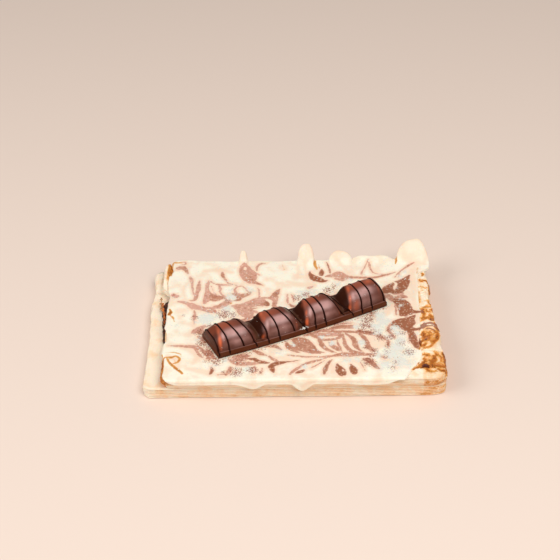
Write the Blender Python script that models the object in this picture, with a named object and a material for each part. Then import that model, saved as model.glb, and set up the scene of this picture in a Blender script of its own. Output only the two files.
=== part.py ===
"""A folded crepe under poured white chocolate, with a chocolate wafer bar lying on it.

The crepe lies along X. Its open fold ends are at -X and +X, and its folded sides at -Y and +Y.
From the bottom up it is a lower fold, a thin filling, an upper fold, the poured coat and the bar.
The origin is the middle of the underside of the part's bounding box.
Lengths are in millimetres, and become metres when a finished mesh is scaled.
"""

import math

import bmesh
import bpy
from mathutils import Matrix, Vector, noise

MM = 0.001

# The whole crepe
LENGTH = 184.5  # left end of the lower fold to its right end
DEPTH = 124.0  # front of the coat to the tip of its longest back lobe
CLEARANCE = 0.3  # gap kept between pieces that touch
CORNER = 4.5  # radius of every layer's corners, seen from above

# Heights of the layers above the surface that the crepe rests on
LOWER_TOP = 8.0
FILLING_TOP = 10.3
UPPER_TOP = 15.4
COAT_TOP = 18.0

# Plan of each layer's top: left, right, front, back
LOWER_PLAN = (-91.2, 85.3, -57.4, 50.0)
FILLING_PLAN = (-80.5, 80.0, -50.0, 41.0)
UPPER_PLAN = (-77.0, 85.4, -58.8, 49.2)
COAT_PLAN = (-78.2, 77.2, -60.3, 51.6)
SHEET_BULGE = 0.6  # how far the rounded edge of a folded sheet stands out past the plan
BARE_CORNER = 6.6  # how far the upper fold shows past the coat at the back left
BARE_RISE = 1.9  # how far that corner curls up
BACK_SLANT = 2.4  # how much deeper the crepe is at its left end

# The gathered, browned border at the right end
BORDER_START = 79.4
BORDER_BACK = 33.0
BORDER_RISE = 2.4
ROSETTE_CENTRE = (83.6, -22.5)
ROSETTE_RADIUS = 9.0
ROSETTE_RISE = 3.4

# Lobes of the coat along the back edge: centre in X, width and length
LOBES = ((-33.2, 5.5, 8.5), (7.2, 11.0, 12.0), (29.5, 15.0, 6.5), (50.0, 26.0, 3.0), (76.4, 22.0, 14.4))
LOBE_LEAN = math.radians(52)
LOBE_ROOT = 7.0  # depth of coat that sweeps up into a lobe
LOBE_THICKNESS = 2.4
LAST_LOBE_STEP = 8.8  # how much further right the coat reaches beside the last lobe
DRIP = 8.0  # longest drip down the front

# The wafer bar
BAR_LENGTH = 112.0
BAR_WIDTH = 21.5
BAR_HEIGHT = 12.7
BAR_HUMPS = 4
BAR_VALLEY_HEIGHT = 7.3
BAR_BAND = 3.8  # height of the straight band round the bar's foot
BAR_CENTRE = (3.2, -8.2)
BAR_TURN = math.radians(24.9)
BAR_SKEW = 1.8  # how far the back of each cross section lags behind its front

# Dark chocolate drizzled over the bar: where each pass starts along its front foot, and how far
# it drifts along the bar on its way to the back
THREAD_RADIUS = 0.5
THREADS = (
    (0.9, 0.6),
    (7.5, -0.6),
    (17.8, -8.5),
    (25.0, -9.5),
    (32.3, 0.0),
    (39.5, -1.6),
    (50.8, -10.0),
    (57.5, -9.0),
    (65.0, -0.6),
    (71.8, -2.0),
    (83.6, -12.0),
    (89.0, -13.0),
    (95.8, -0.2),
    (103.0, -2.2),
    (110.6, -1.0),
)


def smooth_step(low, high, value):
    """0 below low, 1 above high, and an even curve between them."""
    share = min(1.0, max(0.0, (value - low) / (high - low)))
    return share * share * (3.0 - 2.0 * share)


def ripple(x, y, size, seed):
    """Smooth unevenness from -1 to 1 whose bumps are about this size."""
    return noise.noise(Vector((x / size, y / size, seed)))


def spread(low, high, step):
    """Evenly spaced values from low to high, about a step apart."""
    count = max(1, round((high - low) / step))
    return [low + (high - low) * i / count for i in range(count + 1)]


# ---------------------------------------------------------------- building a layer


def rounded_place(x, y, plan):
    """Moves a point of a square plan to its place in the plan with rounded corners.

    Returns the place and the direction that leads straight out of the plan from there.
    """
    middle = Vector(((plan[0] + plan[1]) / 2, (plan[2] + plan[3]) / 2))
    half = Vector(((plan[1] - plan[0]) / 2, (plan[3] - plan[2]) / 2))
    point = Vector((x, y)) - middle
    reach = max(abs(point.x) / half.x, abs(point.y) / half.y, 1e-9)
    edge = point / reach
    straight = half - Vector((CORNER, CORNER))
    if abs(edge.x) > straight.x and abs(edge.y) > straight.y:
        pivot = Vector((math.copysign(straight.x, edge.x), math.copysign(straight.y, edge.y)))
        outward = (edge - pivot).normalized()
        edge = pivot + CORNER * outward
    elif abs(edge.y) > straight.y:
        outward = Vector((0.0, math.copysign(1.0, edge.y)))
    else:
        outward = Vector((math.copysign(1.0, edge.x), 0.0))
    return middle + point.lerp(edge * reach, reach**4), outward


def pull_loop(shape, loop, source):
    """Extrudes a closed loop of edges; source says what each of its vertices came from.

    Returns the new loop and what each new vertex came from.
    """
    pulled = bmesh.ops.extrude_edge_only(shape, edges=loop)["geom"]
    made = {}
    for vertex in (part for part in pulled if isinstance(part, bmesh.types.BMVert)):
        neighbours = (edge.other_vert(vertex) for edge in vertex.link_edges)
        made[vertex] = next(source[other] for other in neighbours if other in source)
    edges = [part for part in pulled if isinstance(part, bmesh.types.BMEdge)]
    return [edge for edge in edges if all(end in made for end in edge.verts)], made


def layer(name, columns, rows, plan, shift, skin, rings):
    """One closed layer: a grid draped as its top, then loops pulled down its sides and under it.

    columns and rows are the grid's x and y values, and shift moves them after the corners are
    rounded. skin turns a plan point into a point of the top. Each ring turns a plan point of the
    rim and its outward direction into a point of the loop pulled there.
    """
    shape = bmesh.new()
    bmesh.ops.create_grid(shape, x_segments=len(columns) - 1, y_segments=len(rows) - 1, size=1.0)
    plans = {}
    for number, vertex in enumerate(shape.verts):
        row, column = divmod(number, len(columns))
        place, outward = rounded_place(columns[column], rows[row], plan)
        place = shift(place)
        vertex.co = skin(place)
        plans[vertex] = (place, outward)
    loop = [edge for edge in shape.edges if edge.is_boundary]
    source = {vertex: plans[vertex] for edge in loop for vertex in edge.verts}
    for ring in rings:
        loop, source = pull_loop(shape, loop, source)
        for vertex, (place, outward) in source.items():
            vertex.co = ring(place, outward)
    bmesh.ops.contextual_create(shape, geom=loop)
    return finish_mesh(name, shape)


def finish_mesh(name, shape):
    """Turns a closed shape in millimetres into a named object in metres."""
    bmesh.ops.recalc_face_normals(shape, faces=shape.faces[:])
    bmesh.ops.scale(shape, vec=(MM, MM, MM), verts=shape.verts[:])
    mesh = bpy.data.meshes.new(name)
    shape.to_mesh(mesh)
    shape.free()
    made = bpy.data.objects.new(name, mesh)
    bpy.context.scene.collection.objects.link(made)
    return made


def stretch(made, axis, low, high):
    """Stretches an object's mesh along one axis so that it spans exactly low to high."""
    values = [vertex.co[axis] for vertex in made.data.vertices]
    least, most = min(values), max(values)
    for vertex in made.data.vertices:
        share = (vertex.co[axis] - least) / (most - least)
        vertex.co[axis] = (low + share * (high - low)) * MM


def edge_ring(outset, height):
    """A ring at a set distance outside the rim and at a set height."""

    def pull(place, outward):
        return (*(place + outset * outward), height)

    return pull


def sheet_ring(outset, height, seed):
    """A ring round folded sheets: ragged at the open ends and even along the folded sides."""

    def pull(place, outward):
        open_end = abs(outward.x)
        ragged = 1.0 * open_end * ripple(place.x, place.y, 11.0, seed)
        depth = outset if outset > 0.0 else outset * (0.3 + 0.7 * open_end)
        return (*(place + (depth + ragged) * outward), height)

    return pull


def sheet_rings(top, bottom, sheets, seed):
    """Rings for a stack of folded sheets: a rounded edge for each, with a groove between two."""
    thickness = (top - bottom) / sheets
    rings = []
    for number in range(sheets):
        middle = top - (number + 0.5) * thickness
        if number:
            rings.append(sheet_ring(-1.3, middle + thickness / 2, seed + number))
        rings.append(sheet_ring(SHEET_BULGE, middle, seed + number))
    return rings


# ---------------------------------------------------------------- the crepe


def slanted(place):
    """Slants the right end, which flares at the front, and the back, which is deeper at the left."""
    end = smooth_step(79.0, 85.4, place.x)
    reach = 6.0 - 8.0 * smooth_step(-45.0, 15.0, place.y) + 1.0 * ripple(place.x, place.y, 13.0, 2.2)
    back = smooth_step(25.0, 51.0, place.y) * (1.0 - smooth_step(-82.0, -46.0, place.x))
    return Vector((place.x + end * reach, place.y + BACK_SLANT * back))


def lower_fold():
    """The folded sheets that the rest lies on, reaching out past it at the left end."""

    def skin(place):
        bare = 1.0 - smooth_step(-88.5, -84.5, place.x)
        sag = bare * (0.8 + 0.5 * ripple(place.x, place.y, 14.0, 5.2))
        puff = 1.4 * smooth_step(28.0, 40.0, place.y) * (1.0 - smooth_step(-87.0, -84.0, place.x))
        return (*place, LOWER_TOP - sag + puff)

    columns = [*spread(-91.2, -79.2, 2.4), *spread(-64.0, 74.0, 23.0), *spread(78.0, 85.3, 3.65)]
    rows = spread(LOWER_PLAN[2], LOWER_PLAN[3], 4.4)
    rings = [
        *sheet_rings(LOWER_TOP - 0.7, 0.4, 3, seed=11.0),
        edge_ring(-0.9, 0.0),
        edge_ring(-6.0, 0.0),
    ]
    return layer("crepe_lower_fold", columns, rows, LOWER_PLAN, slanted, skin, rings)


def filling():
    """The thin dark filling between the two folds, squeezed out in lumps at the left end."""
    low = LOWER_TOP + CLEARANCE

    def lumps(place):
        end = 1.0 - smooth_step(-80.0, -72.0, place.x)
        squeezed = 2.2 * math.exp(-(((place.y - 5.0) / 6.0) ** 2))
        squeezed += 3.8 * math.exp(-(((place.y - 17.0) / 5.0) ** 2))
        squeezed += 0.8 * ripple(place.x, place.y, 4.0, 6.6)
        return Vector((place.x - end * squeezed, place.y))

    def skin(place):
        return (*place, FILLING_TOP)

    columns = [-80.5, -77.5, *spread(-72.0, 72.0, 36.0), 76.5, 80.0]
    rows = spread(FILLING_PLAN[2], FILLING_PLAN[3], 3.5)
    rings = [edge_ring(0.8, FILLING_TOP - 0.9), edge_ring(0.3, low), edge_ring(-5.0, low)]
    return layer("filling", columns, rows, FILLING_PLAN, lumps, skin, rings)


def border_rise(x, y):
    """Height of the gathered border at the right end, with its small folds and its knot."""
    on_border = smooth_step(BORDER_START, BORDER_START + 1.4, x)
    on_border *= 1.0 - smooth_step(BORDER_BACK - 3.0, BORDER_BACK + 1.0, y)
    bend = 2.2 * ripple(x, y, 9.0, 3.1)
    folds = 0.75 * math.sin((y + bend + 0.35 * x) * 2.0 * math.pi / 7.4)
    folds += 0.5 * ripple(x, y, 4.5, 8.7)
    rise = max(0.4, BORDER_RISE - 0.32 * max(0.0, x - 82.0) + folds)
    return on_border * (rise + rosette_rise(x, y))


def rosette_rise(x, y):
    """Height of the knot of gathered crepe, a dome with a coiled fold in it."""
    away = Vector((x - ROSETTE_CENTRE[0], y - ROSETTE_CENTRE[1]))
    share = away.length / ROSETTE_RADIUS
    if share >= 1.0:
        return 0.0
    coil = math.cos(math.atan2(away.y, away.x) - 7.0 * share)
    return ROSETTE_RISE * math.sqrt(1.0 - share * share) + 0.6 * coil * (1.0 - share)


def under_ring(inset, over_filling):
    """A ring under the upper fold: on the filling at the ends, on the lower fold at the sides."""
    on_filling = FILLING_TOP + CLEARANCE
    on_fold = LOWER_TOP + CLEARANCE + 0.1

    def pull(place, outward):
        side = 0.0 if over_filling else outward.y**2
        height = on_fold * side + on_filling * (1.0 - side)
        return (*(place - inset * outward), height)

    return pull


def upper_fold():
    """The folded sheets on top, gathered into a crinkled border at the right end."""

    def shift(place):
        corner = 1.0 - smooth_step(-77.0, -66.0, place.x)
        corner *= smooth_step(20.0, 30.0, place.y)
        return slanted(place) - Vector((corner * BARE_CORNER, 0.0))

    def skin(place):
        bare = (1.0 - smooth_step(-81.0, -79.9, place.x)) * smooth_step(26.0, 36.0, place.y)
        return (*place, UPPER_TOP + BARE_RISE * bare + border_rise(*place))

    columns = [
        -77.0,
        -75.6,
        -74.4,
        -70.0,
        *spread(-58.0, 62.0, 24.0),
        70.0,
        78.8,
        80.3,
        *spread(81.6, 85.4, 1.25),
    ]
    rows = spread(UPPER_PLAN[2], UPPER_PLAN[3], 2.5)
    rings = [
        *sheet_rings(UPPER_TOP - 0.6, FILLING_TOP + CLEARANCE + 0.5, 2, seed=23.0),
        under_ring(0.9, False),
        under_ring(4.6, False),
        under_ring(6.2, True),
    ]
    return layer("crepe_upper_fold", columns, rows, UPPER_PLAN, shift, skin, rings)


# ---------------------------------------------------------------- the poured coat


def lobe_length(x):
    """Length of the coat's back lobe at this x, 0 between lobes."""
    length = 0.0
    for centre, width, longest in LOBES:
        share = abs(x - centre) / (width / 2)
        if share < 1.0:
            length = max(length, longest * (1.0 - share**2.6) ** 0.62)
    return length


def coat_skin(place, share_of_lobe=1.0):
    """A point of the coat's top, level with a slight unevenness and swept up into the lobes."""
    height = COAT_TOP - 0.25 + 0.4 * min(0.5, ripple(place.x, place.y, 26.0, 1.4))
    sweep = min(1.0, max(0.0, 1.0 - (COAT_PLAN[3] - place.y) / LOBE_ROOT)) * share_of_lobe
    length = lobe_length(place.x)
    back = length * math.cos(LOBE_LEAN) * sweep**2
    up = length * math.sin(LOBE_LEAN) * sweep**2.2
    return Vector((place.x, place.y + back, height + up))


def hang(place, outward):
    """How far the coat's lip hangs below the top of the crepe at this point of the rim."""
    beside = smooth_step(-74.0, -64.0, place.x) * (1.0 - smooth_step(56.0, 65.0, place.x))
    runs = max(0.0, math.sin(place.x / 6.3 + 1.1 * math.sin(place.x / 17.0)))
    front = 2.6 + (DRIP - 2.6) * runs**1.6 * (0.6 + 0.4 * math.cos(place.x / 15.0))
    return beside * (front * max(0.0, -outward.y) + 3.4 * max(0.0, outward.y))


def lip_ring(outset, rise):
    """A ring near the coat's lower lip, which rests on the crepe where it does not hang."""

    def pull(place, outward):
        reach = outset * (1.0 - 0.7 * max(0.0, outward.x) ** 2)
        lip = UPPER_TOP + CLEARANCE + 0.15 - hang(place, outward)
        return (*(place + reach * outward), lip + rise)

    return pull


def lobe_ring(outset, share_of_lobe, drop):
    """A ring down the back of the lobes, a lobe's thickness behind their front."""

    def pull(place, outward):
        point = coat_skin(place, share_of_lobe)
        lobe = min(1.0, lobe_length(place.x) / 6.0) * max(0.0, outward.y)
        behind = LOBE_THICKNESS * lobe * (1.0 - share_of_lobe)
        reach = (outset * (1.0 - 0.7 * max(0.0, outward.x) ** 2)) * outward
        return (point.x + reach.x, point.y + reach.y + behind, point.z - drop)

    return pull


def poured_coat():
    """White chocolate poured over the top, dripping at the front and smeared into lobes behind."""

    def shift(place):
        end = smooth_step(56.0, COAT_PLAN[1], place.x)
        step = LAST_LOBE_STEP * smooth_step(36.0, 43.5, place.y)
        uneven = 0.5 * ripple(place.x, place.y, 12.0, 9.9)
        back = smooth_step(25.0, 51.0, place.y) * (1.0 - smooth_step(-82.0, -46.0, place.x))
        return Vector((place.x + end * (step + uneven), place.y + BACK_SLANT * back))

    shares = (-1.05, -0.88, -0.5, 0.0, 0.5, 0.88, 1.05)
    at_lobes = [centre + share * width / 2 for centre, width, _ in LOBES[:3] for share in shares]
    between = [x for x in spread(COAT_PLAN[0], 56.0, 7.0) if min(abs(x - at) for at in at_lobes) > 2.0]
    columns = sorted([*at_lobes, *between, 60.5, 62.5, 64.4, 66.6, 69.6, 73.4, COAT_PLAN[1]])
    back = [COAT_PLAN[3] - inset for inset in (7.2, 5.4, 3.8, 2.4, 1.1, 0.0)]
    rows = [COAT_PLAN[2], COAT_PLAN[2] + 1.6, *spread(COAT_PLAN[2] + 7.0, back[0] - 2.5, 8.0), *back]
    under = UPPER_TOP + CLEARANCE
    rings = [
        lobe_ring(0.8, 1.0, 1.0),
        lobe_ring(1.2, 0.62, 1.3),
        lip_ring(1.6, 0.9),
        lip_ring(1.0, 0.0),
        lip_ring(-0.2, 0.1),
        edge_ring(-0.5, under),
        edge_ring(-6.0, under),
    ]
    return layer("white_chocolate_coat", columns, rows, COAT_PLAN, shift, coat_skin, rings)


# ---------------------------------------------------------------- the wafer bar


def hump(along):
    """0 in a valley between two humps of the bar, 1 on a hump's crown."""
    within = abs((along * BAR_HUMPS / BAR_LENGTH) % 1.0 - 0.5) * 2.0
    return 1.0 - smooth_step(0.42, 0.98, within)


def bar_point(along, turn):
    """A point of the bar's skin. turn runs from 0 at its front foot over the top to 1 behind."""
    rise = hump(along)
    crown = BAR_VALLEY_HEIGHT + (BAR_HEIGHT - BAR_VALLEY_HEIGHT) * rise
    end = smooth_step(-1.6, 4.5, min(along, BAR_LENGTH - along))
    band = BAR_BAND * (0.45 + 0.55 * smooth_step(0.0, 2.4, min(along, BAR_LENGTH - along)))
    crown = band + (crown - BAR_BAND) * end
    half = BAR_WIDTH / 2
    if turn < 0.1 or turn > 0.9:
        side = -1.0 if turn < 0.1 else 1.0
        share = min(turn, 1.0 - turn) / 0.1
        across, height = side * (half - 0.35 * share), band * share
    else:
        angle = math.pi * (turn - 0.1) / 0.8
        arch_half = half - 0.75 - 1.9 * (1.0 - rise)
        across = -math.copysign(abs(math.cos(angle)) ** 0.72, math.cos(angle)) * arch_half
        height = band + (crown - band) * abs(math.sin(angle)) ** 0.85
    return Vector((along - BAR_SKEW * across / BAR_WIDTH, across, height))


def bar_body():
    """The moulded bar: four humps on a straight band, pulled from one cross section to the next."""
    turns = [0.0, 0.085, *spread(0.1, 0.9, 0.8 / 12), 0.915, 1.0]
    shape = bmesh.new()
    first = bmesh.ops.create_circle(shape, cap_ends=False, segments=len(turns), radius=1.0)["verts"]
    source = dict(zip(first, turns))
    loop = list(shape.edges)
    for vertex, turn in source.items():
        vertex.co = bar_point(0.0, turn)
    bmesh.ops.contextual_create(shape, geom=loop)
    for along in spread(0.0, BAR_LENGTH, 2.35)[1:]:
        loop, source = pull_loop(shape, loop, source)
        for vertex, turn in source.items():
            vertex.co = bar_point(along, turn)
    bmesh.ops.contextual_create(shape, geom=loop)
    return finish_mesh("wafer_bar", shape)


def drizzle_thread(number):
    """One pass of dark chocolate over the bar, as a solid tube along its skin."""
    start, drift = THREADS[number]
    turns = [0.04, 0.1, 0.2, 0.33, 0.5, 0.67, 0.8, 0.9, 0.96]
    turns = turns[1:-1] if number % 4 == 2 else turns
    curve = bpy.data.curves.new(f"thread_{number}", "CURVE")
    curve.dimensions = "3D"
    curve.bevel_depth = THREAD_RADIUS * MM
    curve.bevel_resolution = 1
    curve.use_fill_caps = True
    line = curve.splines.new("POLY")
    line.points.add(len(turns) - 1)
    for point, turn in zip(line.points, turns):
        along = min(max(start + drift * turn, 0.8), BAR_LENGTH - 0.8)
        point.co = (*(bar_point(along, turn) * MM), 1.0)
    drawn = bpy.data.objects.new(curve.name, curve)
    bpy.context.scene.collection.objects.link(drawn)
    graph = bpy.context.evaluated_depsgraph_get()
    solid = bpy.data.meshes.new_from_object(drawn.evaluated_get(graph))
    bpy.data.objects.remove(drawn)
    return bpy.data.objects.new(f"pass_{number}", solid)


def wafer_bar():
    """The bar with its drizzle fused on, laid askew on the coat."""
    bar = bar_body()
    drizzle = bpy.data.collections.new("drizzle")
    bpy.context.scene.collection.children.link(drizzle)
    for number in range(len(THREADS)):
        drizzle.objects.link(drizzle_thread(number))
    fuse = bar.modifiers.new("fuse_drizzle", "BOOLEAN")
    fuse.operation = "UNION"
    fuse.operand_type = "COLLECTION"
    fuse.collection = drizzle
    fuse.solver = "EXACT"
    graph = bpy.context.evaluated_depsgraph_get()
    fused = bpy.data.meshes.new_from_object(bar.evaluated_get(graph))
    bar.modifiers.clear()
    bar.data = fused
    for thread in list(drizzle.objects):
        bpy.data.objects.remove(thread)
    bpy.data.collections.remove(drizzle)
    turn = Matrix.Rotation(BAR_TURN, 4, "Z")
    centre = Vector((*BAR_CENTRE, COAT_TOP + CLEARANCE)) * MM
    middle = Vector((-BAR_LENGTH / 2 * MM, 0.0, 0.0))
    bar.data.transform(Matrix.Translation(centre) @ turn @ Matrix.Translation(middle))
    return bar


# ---------------------------------------------------------------- finishes


def finish(name, colour, roughness):
    """A plain food finish."""
    material = bpy.data.materials.new(name)
    material.use_nodes = True
    shader = material.node_tree.nodes["Principled BSDF"]
    shader.inputs["Base Color"].default_value = (*colour, 1.0)
    shader.inputs["Roughness"].default_value = roughness
    shader.inputs["Metallic"].default_value = 0.0
    return material


def main():
    """Builds the crepe from the bottom up."""
    for old in list(bpy.data.objects):
        bpy.data.objects.remove(old)
    crepe = finish("crepe", (0.78, 0.55, 0.30), 0.65)
    nutty = finish("nutty_filling", (0.13, 0.05, 0.02), 0.6)
    white = finish("white_chocolate", (0.93, 0.82, 0.66), 0.4)
    milk = finish("milk_chocolate", (0.16, 0.05, 0.025), 0.3)

    lower = lower_fold()
    stretch(lower, 0, -LENGTH / 2, LENGTH / 2)
    lower.data.materials.append(crepe)
    filling().data.materials.append(nutty)
    upper_fold().data.materials.append(crepe)
    coat = poured_coat()
    stretch(coat, 1, -DEPTH / 2, DEPTH / 2)
    coat.data.materials.append(white)
    wafer_bar().data.materials.append(milk)


main()
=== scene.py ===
"""Dresses a folded crepe: browned batter, dark filling, marbled coat, wafer bar and sugar dust.

Lengths are in millimetres until a finished mesh is scaled to metres. X runs along the crepe
towards its browned, gathered end, Y towards its back edge with the upturned lobes, and Z up.
"""

from __future__ import annotations

import logging
import math
import random
from collections.abc import Callable, Sequence
from dataclasses import dataclass, field
from enum import Enum
from functools import partial

import bmesh
import bpy
import numpy as np
from mathutils import Matrix, Vector, noise

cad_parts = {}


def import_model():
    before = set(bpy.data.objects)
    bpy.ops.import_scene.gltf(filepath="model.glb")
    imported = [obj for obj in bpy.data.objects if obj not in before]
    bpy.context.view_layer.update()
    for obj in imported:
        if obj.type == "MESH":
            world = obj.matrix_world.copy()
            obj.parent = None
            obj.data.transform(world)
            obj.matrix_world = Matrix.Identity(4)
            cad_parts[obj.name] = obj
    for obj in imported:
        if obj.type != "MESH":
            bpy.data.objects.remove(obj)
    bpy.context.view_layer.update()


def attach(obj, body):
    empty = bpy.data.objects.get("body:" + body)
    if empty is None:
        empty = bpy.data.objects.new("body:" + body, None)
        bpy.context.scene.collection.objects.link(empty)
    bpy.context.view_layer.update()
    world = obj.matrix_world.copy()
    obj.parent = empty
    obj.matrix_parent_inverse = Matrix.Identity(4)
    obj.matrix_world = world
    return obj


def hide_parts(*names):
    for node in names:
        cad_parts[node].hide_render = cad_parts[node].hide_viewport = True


MM = 0.001
LOG = logging.getLogger("crepe")

COAT_TOP = 18.0
# drawn lines are laid out at the level of the coat's top, as they look from the front and above;
# this is where that look carries a point for each millimetre that it stands above the level
VIEW_DRIFT = np.array((-0.08, 1.25))


# ------------------------------------------------------------------ small sums


def smooth_step(low: float, high: float, value: float) -> float:
    """Rises evenly from 0 at low to 1 at high.

    Args:
        low: value below which the result is 0.
        high: value above which the result is 1.
        value: the value to place between them.

    Returns:
        A share from 0 to 1.
    """
    share = min(1.0, max(0.0, (value - low) / (high - low)))
    return share * share * (3.0 - 2.0 * share)


def smooth_array(low: float, high: float, values: np.ndarray) -> np.ndarray:
    """Rises evenly from 0 at low to 1 at high, for many values at once."""
    share = np.clip((values - low) / (high - low), 0.0, 1.0)
    return share * share * (3.0 - 2.0 * share)


def bell(values: np.ndarray, middle: float | np.ndarray, width: float) -> np.ndarray:
    """Rises from 0 to 1 at a middle and falls again, over about a width on either side."""
    return np.exp(-(((values - middle) / width) ** 2))


def ripple(x: float, y: float, size: float, seed: float) -> float:
    """Smooth unevenness from -1 to 1.

    Args:
        x: place along the crepe.
        y: place across the crepe.
        size: about how large its bumps are.
        seed: which of many such patterns.

    Returns:
        Height of the pattern.
    """
    return noise.noise(Vector((x / size, y / size, seed)))


def crest(x: float, y: float, size: float, seed: float) -> float:
    """Sharp-topped wrinkles from 0 to 1, as of skin that has been pushed together."""
    return (1.0 - abs(ripple(x, y, size, seed)) * 2.0) ** 3


def spread(low: float, high: float, step: float) -> list[float]:
    """Evenly spaced values from low to high, about a step apart."""
    count = max(1, round((high - low) / step))
    return [low + (high - low) * i / count for i in range(count + 1)]


def wave(table: Sequence[tuple[float, float]], place: float) -> float:
    """A smooth line through given values.

    Args:
        table: places in rising order, each with its value.
        place: where to read the line.

    Returns:
        The line's value there.
    """
    if place <= table[0][0]:
        return table[0][1]
    for (low, first), (high, second) in zip(table, table[1:]):
        if place <= high:
            return first + (second - first) * smooth_step(low, high, place)
    return table[-1][1]


def linear(level: int) -> float:
    """Turns one level of a display colour, from 0 to 255, into a linear share."""
    share = level / 255.0
    return share / 12.92 if share <= 0.04045 else ((share + 0.055) / 1.055) ** 2.4


def display(red: int, green: int, blue: int) -> tuple[float, float, float, float]:
    """Turns a display colour from 0 to 255 into the linear colour that a shader takes."""
    return (linear(red), linear(green), linear(blue), 1.0)


# ------------------------------------------------------------------ shader expressions


class Signal:
    """A value inside a material that takes part in Python sums."""

    def __init__(self, finish: Finish, socket: bpy.types.NodeSocket) -> None:
        """Keeps the socket that the value comes out of.

        Args:
            finish: the material that the value belongs to.
            socket: the output socket that carries it.
        """
        self.finish = finish
        self.socket = socket

    def math(self, operation: str, *others: Signal | float) -> Signal:
        """Adds one Math node.

        Args:
            operation: what the node does.
            others: its further inputs.

        Returns:
            The node's result.
        """
        values = dict(enumerate((self, *others)))
        node = self.finish.node("ShaderNodeMath", {"operation": operation}, values)
        return Signal(self.finish, node.outputs[0])

    def __add__(self, other: Signal | float) -> Signal:
        """The sum."""
        return self.math("ADD", other)

    __radd__ = __add__

    def __mul__(self, other: Signal | float) -> Signal:
        """The product."""
        return self.math("MULTIPLY", other)

    __rmul__ = __mul__

    def __sub__(self, other: Signal | float) -> Signal:
        """The difference."""
        return self.math("SUBTRACT", other)

    def __rsub__(self, other: float) -> Signal:
        """The difference from a plain number."""
        return self * -1.0 + other

    def __pow__(self, other: float) -> Signal:
        """The power, of a value that is not negative."""
        return self.math("POWER", other)

    def larger(self, other: Signal | float) -> Signal:
        """The larger of two values."""
        return self.math("MAXIMUM", other)

    def between(self, low: float, high: float) -> Signal:
        """Rises evenly from 0 at low to 1 at high; high may be the smaller one.

        Args:
            low: where the result is 0.
            high: where the result is 1.

        Returns:
            A share from 0 to 1.
        """
        values = {"Value": self, "From Min": low, "From Max": high}
        node = self.finish.node("ShaderNodeMapRange", {"interpolation_type": "SMOOTHSTEP"}, values)
        return Signal(self.finish, node.outputs["Result"])


class Finish:
    """A material and the few ways in which this scene builds one."""

    def __init__(self, name: str) -> None:
        """Starts a material with its Principled shader.

        Args:
            name: what the material is called.
        """
        self.material = bpy.data.materials.new(name)
        self.material.use_nodes = True
        self.tree = self.material.node_tree
        self.shader = self.tree.nodes["Principled BSDF"]
        self.place = self.node("ShaderNodeTexCoord", {}, {}).outputs["Object"]

    def node(self, kind: str, settings: dict, sockets: dict) -> bpy.types.Node:
        """Adds a node, applies its settings, then fills its sockets.

        Args:
            kind: type of the node.
            settings: its properties, by name.
            sockets: values or links for its inputs, by name or number.

        Returns:
            The node.
        """
        node = self.tree.nodes.new(kind)
        for key, value in settings.items():
            setattr(node, key, value)
        for key, value in sockets.items():
            self.fill(node.inputs[key], value)
        return node

    def fill(self, socket: bpy.types.NodeSocket, value: object) -> None:
        """Links a socket to a value that varies, or sets it to one that does not.

        Args:
            socket: the input socket.
            value: a signal, an output socket, or a plain value.
        """
        if isinstance(value, Signal):
            self.tree.links.new(value.socket, socket)
        elif isinstance(value, bpy.types.NodeSocket):
            self.tree.links.new(value, socket)
        else:
            socket.default_value = value

    def laid(self, name: str) -> Signal:
        """A value that the mesh carries from point to point."""
        node = self.node("ShaderNodeAttribute", {"attribute_name": name}, {})
        return Signal(self, node.outputs["Fac"])

    def mottle(self, size: float, detail: float = 3.0, stretch: tuple = (1, 1, 1)) -> Signal:
        """Soft random mottling, about 0.5 in the middle.

        Args:
            size: size of its patches in millimetres.
            detail: how many finer layers it has.
            stretch: how much finer it is along X, Y and Z.

        Returns:
            A value from 0 to 1.
        """
        mapped = self.node("ShaderNodeMapping", {}, {"Vector": self.place, "Scale": stretch})
        values = {"Vector": mapped.outputs[0], "Scale": 1000.0 / size, "Detail": detail}
        node = self.node("ShaderNodeTexNoise", {}, values)
        return Signal(self, node.outputs["Fac"])

    def cells(self, size: float) -> Signal:
        """Distance to the nearest of many scattered points, 0 at a point.

        Args:
            size: how far apart the points are in millimetres.

        Returns:
            A value from 0 to about 1.
        """
        values = {"Vector": self.place, "Scale": 1000.0 / size}
        return Signal(self, self.node("ShaderNodeTexVoronoi", {}, values).outputs["Distance"])

    def mix(self, share: Signal | float, first: object, second: object) -> bpy.types.NodeSocket:
        """Mixes two colours.

        Args:
            share: 0 for the first colour, 1 for the second.
            first: a colour or a link to one.
            second: a colour or a link to one.

        Returns:
            The mixed colour's socket.
        """
        values = {0: share, 6: first, 7: second}
        return self.node("ShaderNodeMix", {"data_type": "RGBA"}, values).outputs[2]

    def set(self, **values: float) -> None:
        """Sets the shader's even values, with underscores for the spaces in their names."""
        for key, value in values.items():
            self.shader.inputs[key.replace("_", " ")].default_value = value

    def relief(self, height: Signal, depth: float) -> None:
        """Makes the surface's shading uneven.

        Args:
            height: the unevenness, from 0 to 1.
            depth: how deep it is in millimetres.
        """
        values = {"Height": height, "Distance": depth * MM, "Strength": 1.0}
        node = self.node("ShaderNodeBump", {}, values)
        self.fill(self.shader.inputs["Normal"], node.outputs["Normal"])

    def paint(self, colour: object, roughness: Signal | float) -> bpy.types.Material:
        """Connects the colour and the roughness.

        Args:
            colour: a colour or a link to one.
            roughness: an even or a varying roughness.

        Returns:
            The finished material.
        """
        self.fill(self.shader.inputs["Base Color"], colour)
        self.fill(self.shader.inputs["Roughness"], roughness)
        return self.material


# ------------------------------------------------------------------ finishes


class Slot(Enum):
    """The material slots."""

    CREPE = "crepe"
    FILLING = "nutty_filling"
    WHITE = "white_chocolate"
    MILK = "milk_chocolate"


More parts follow.
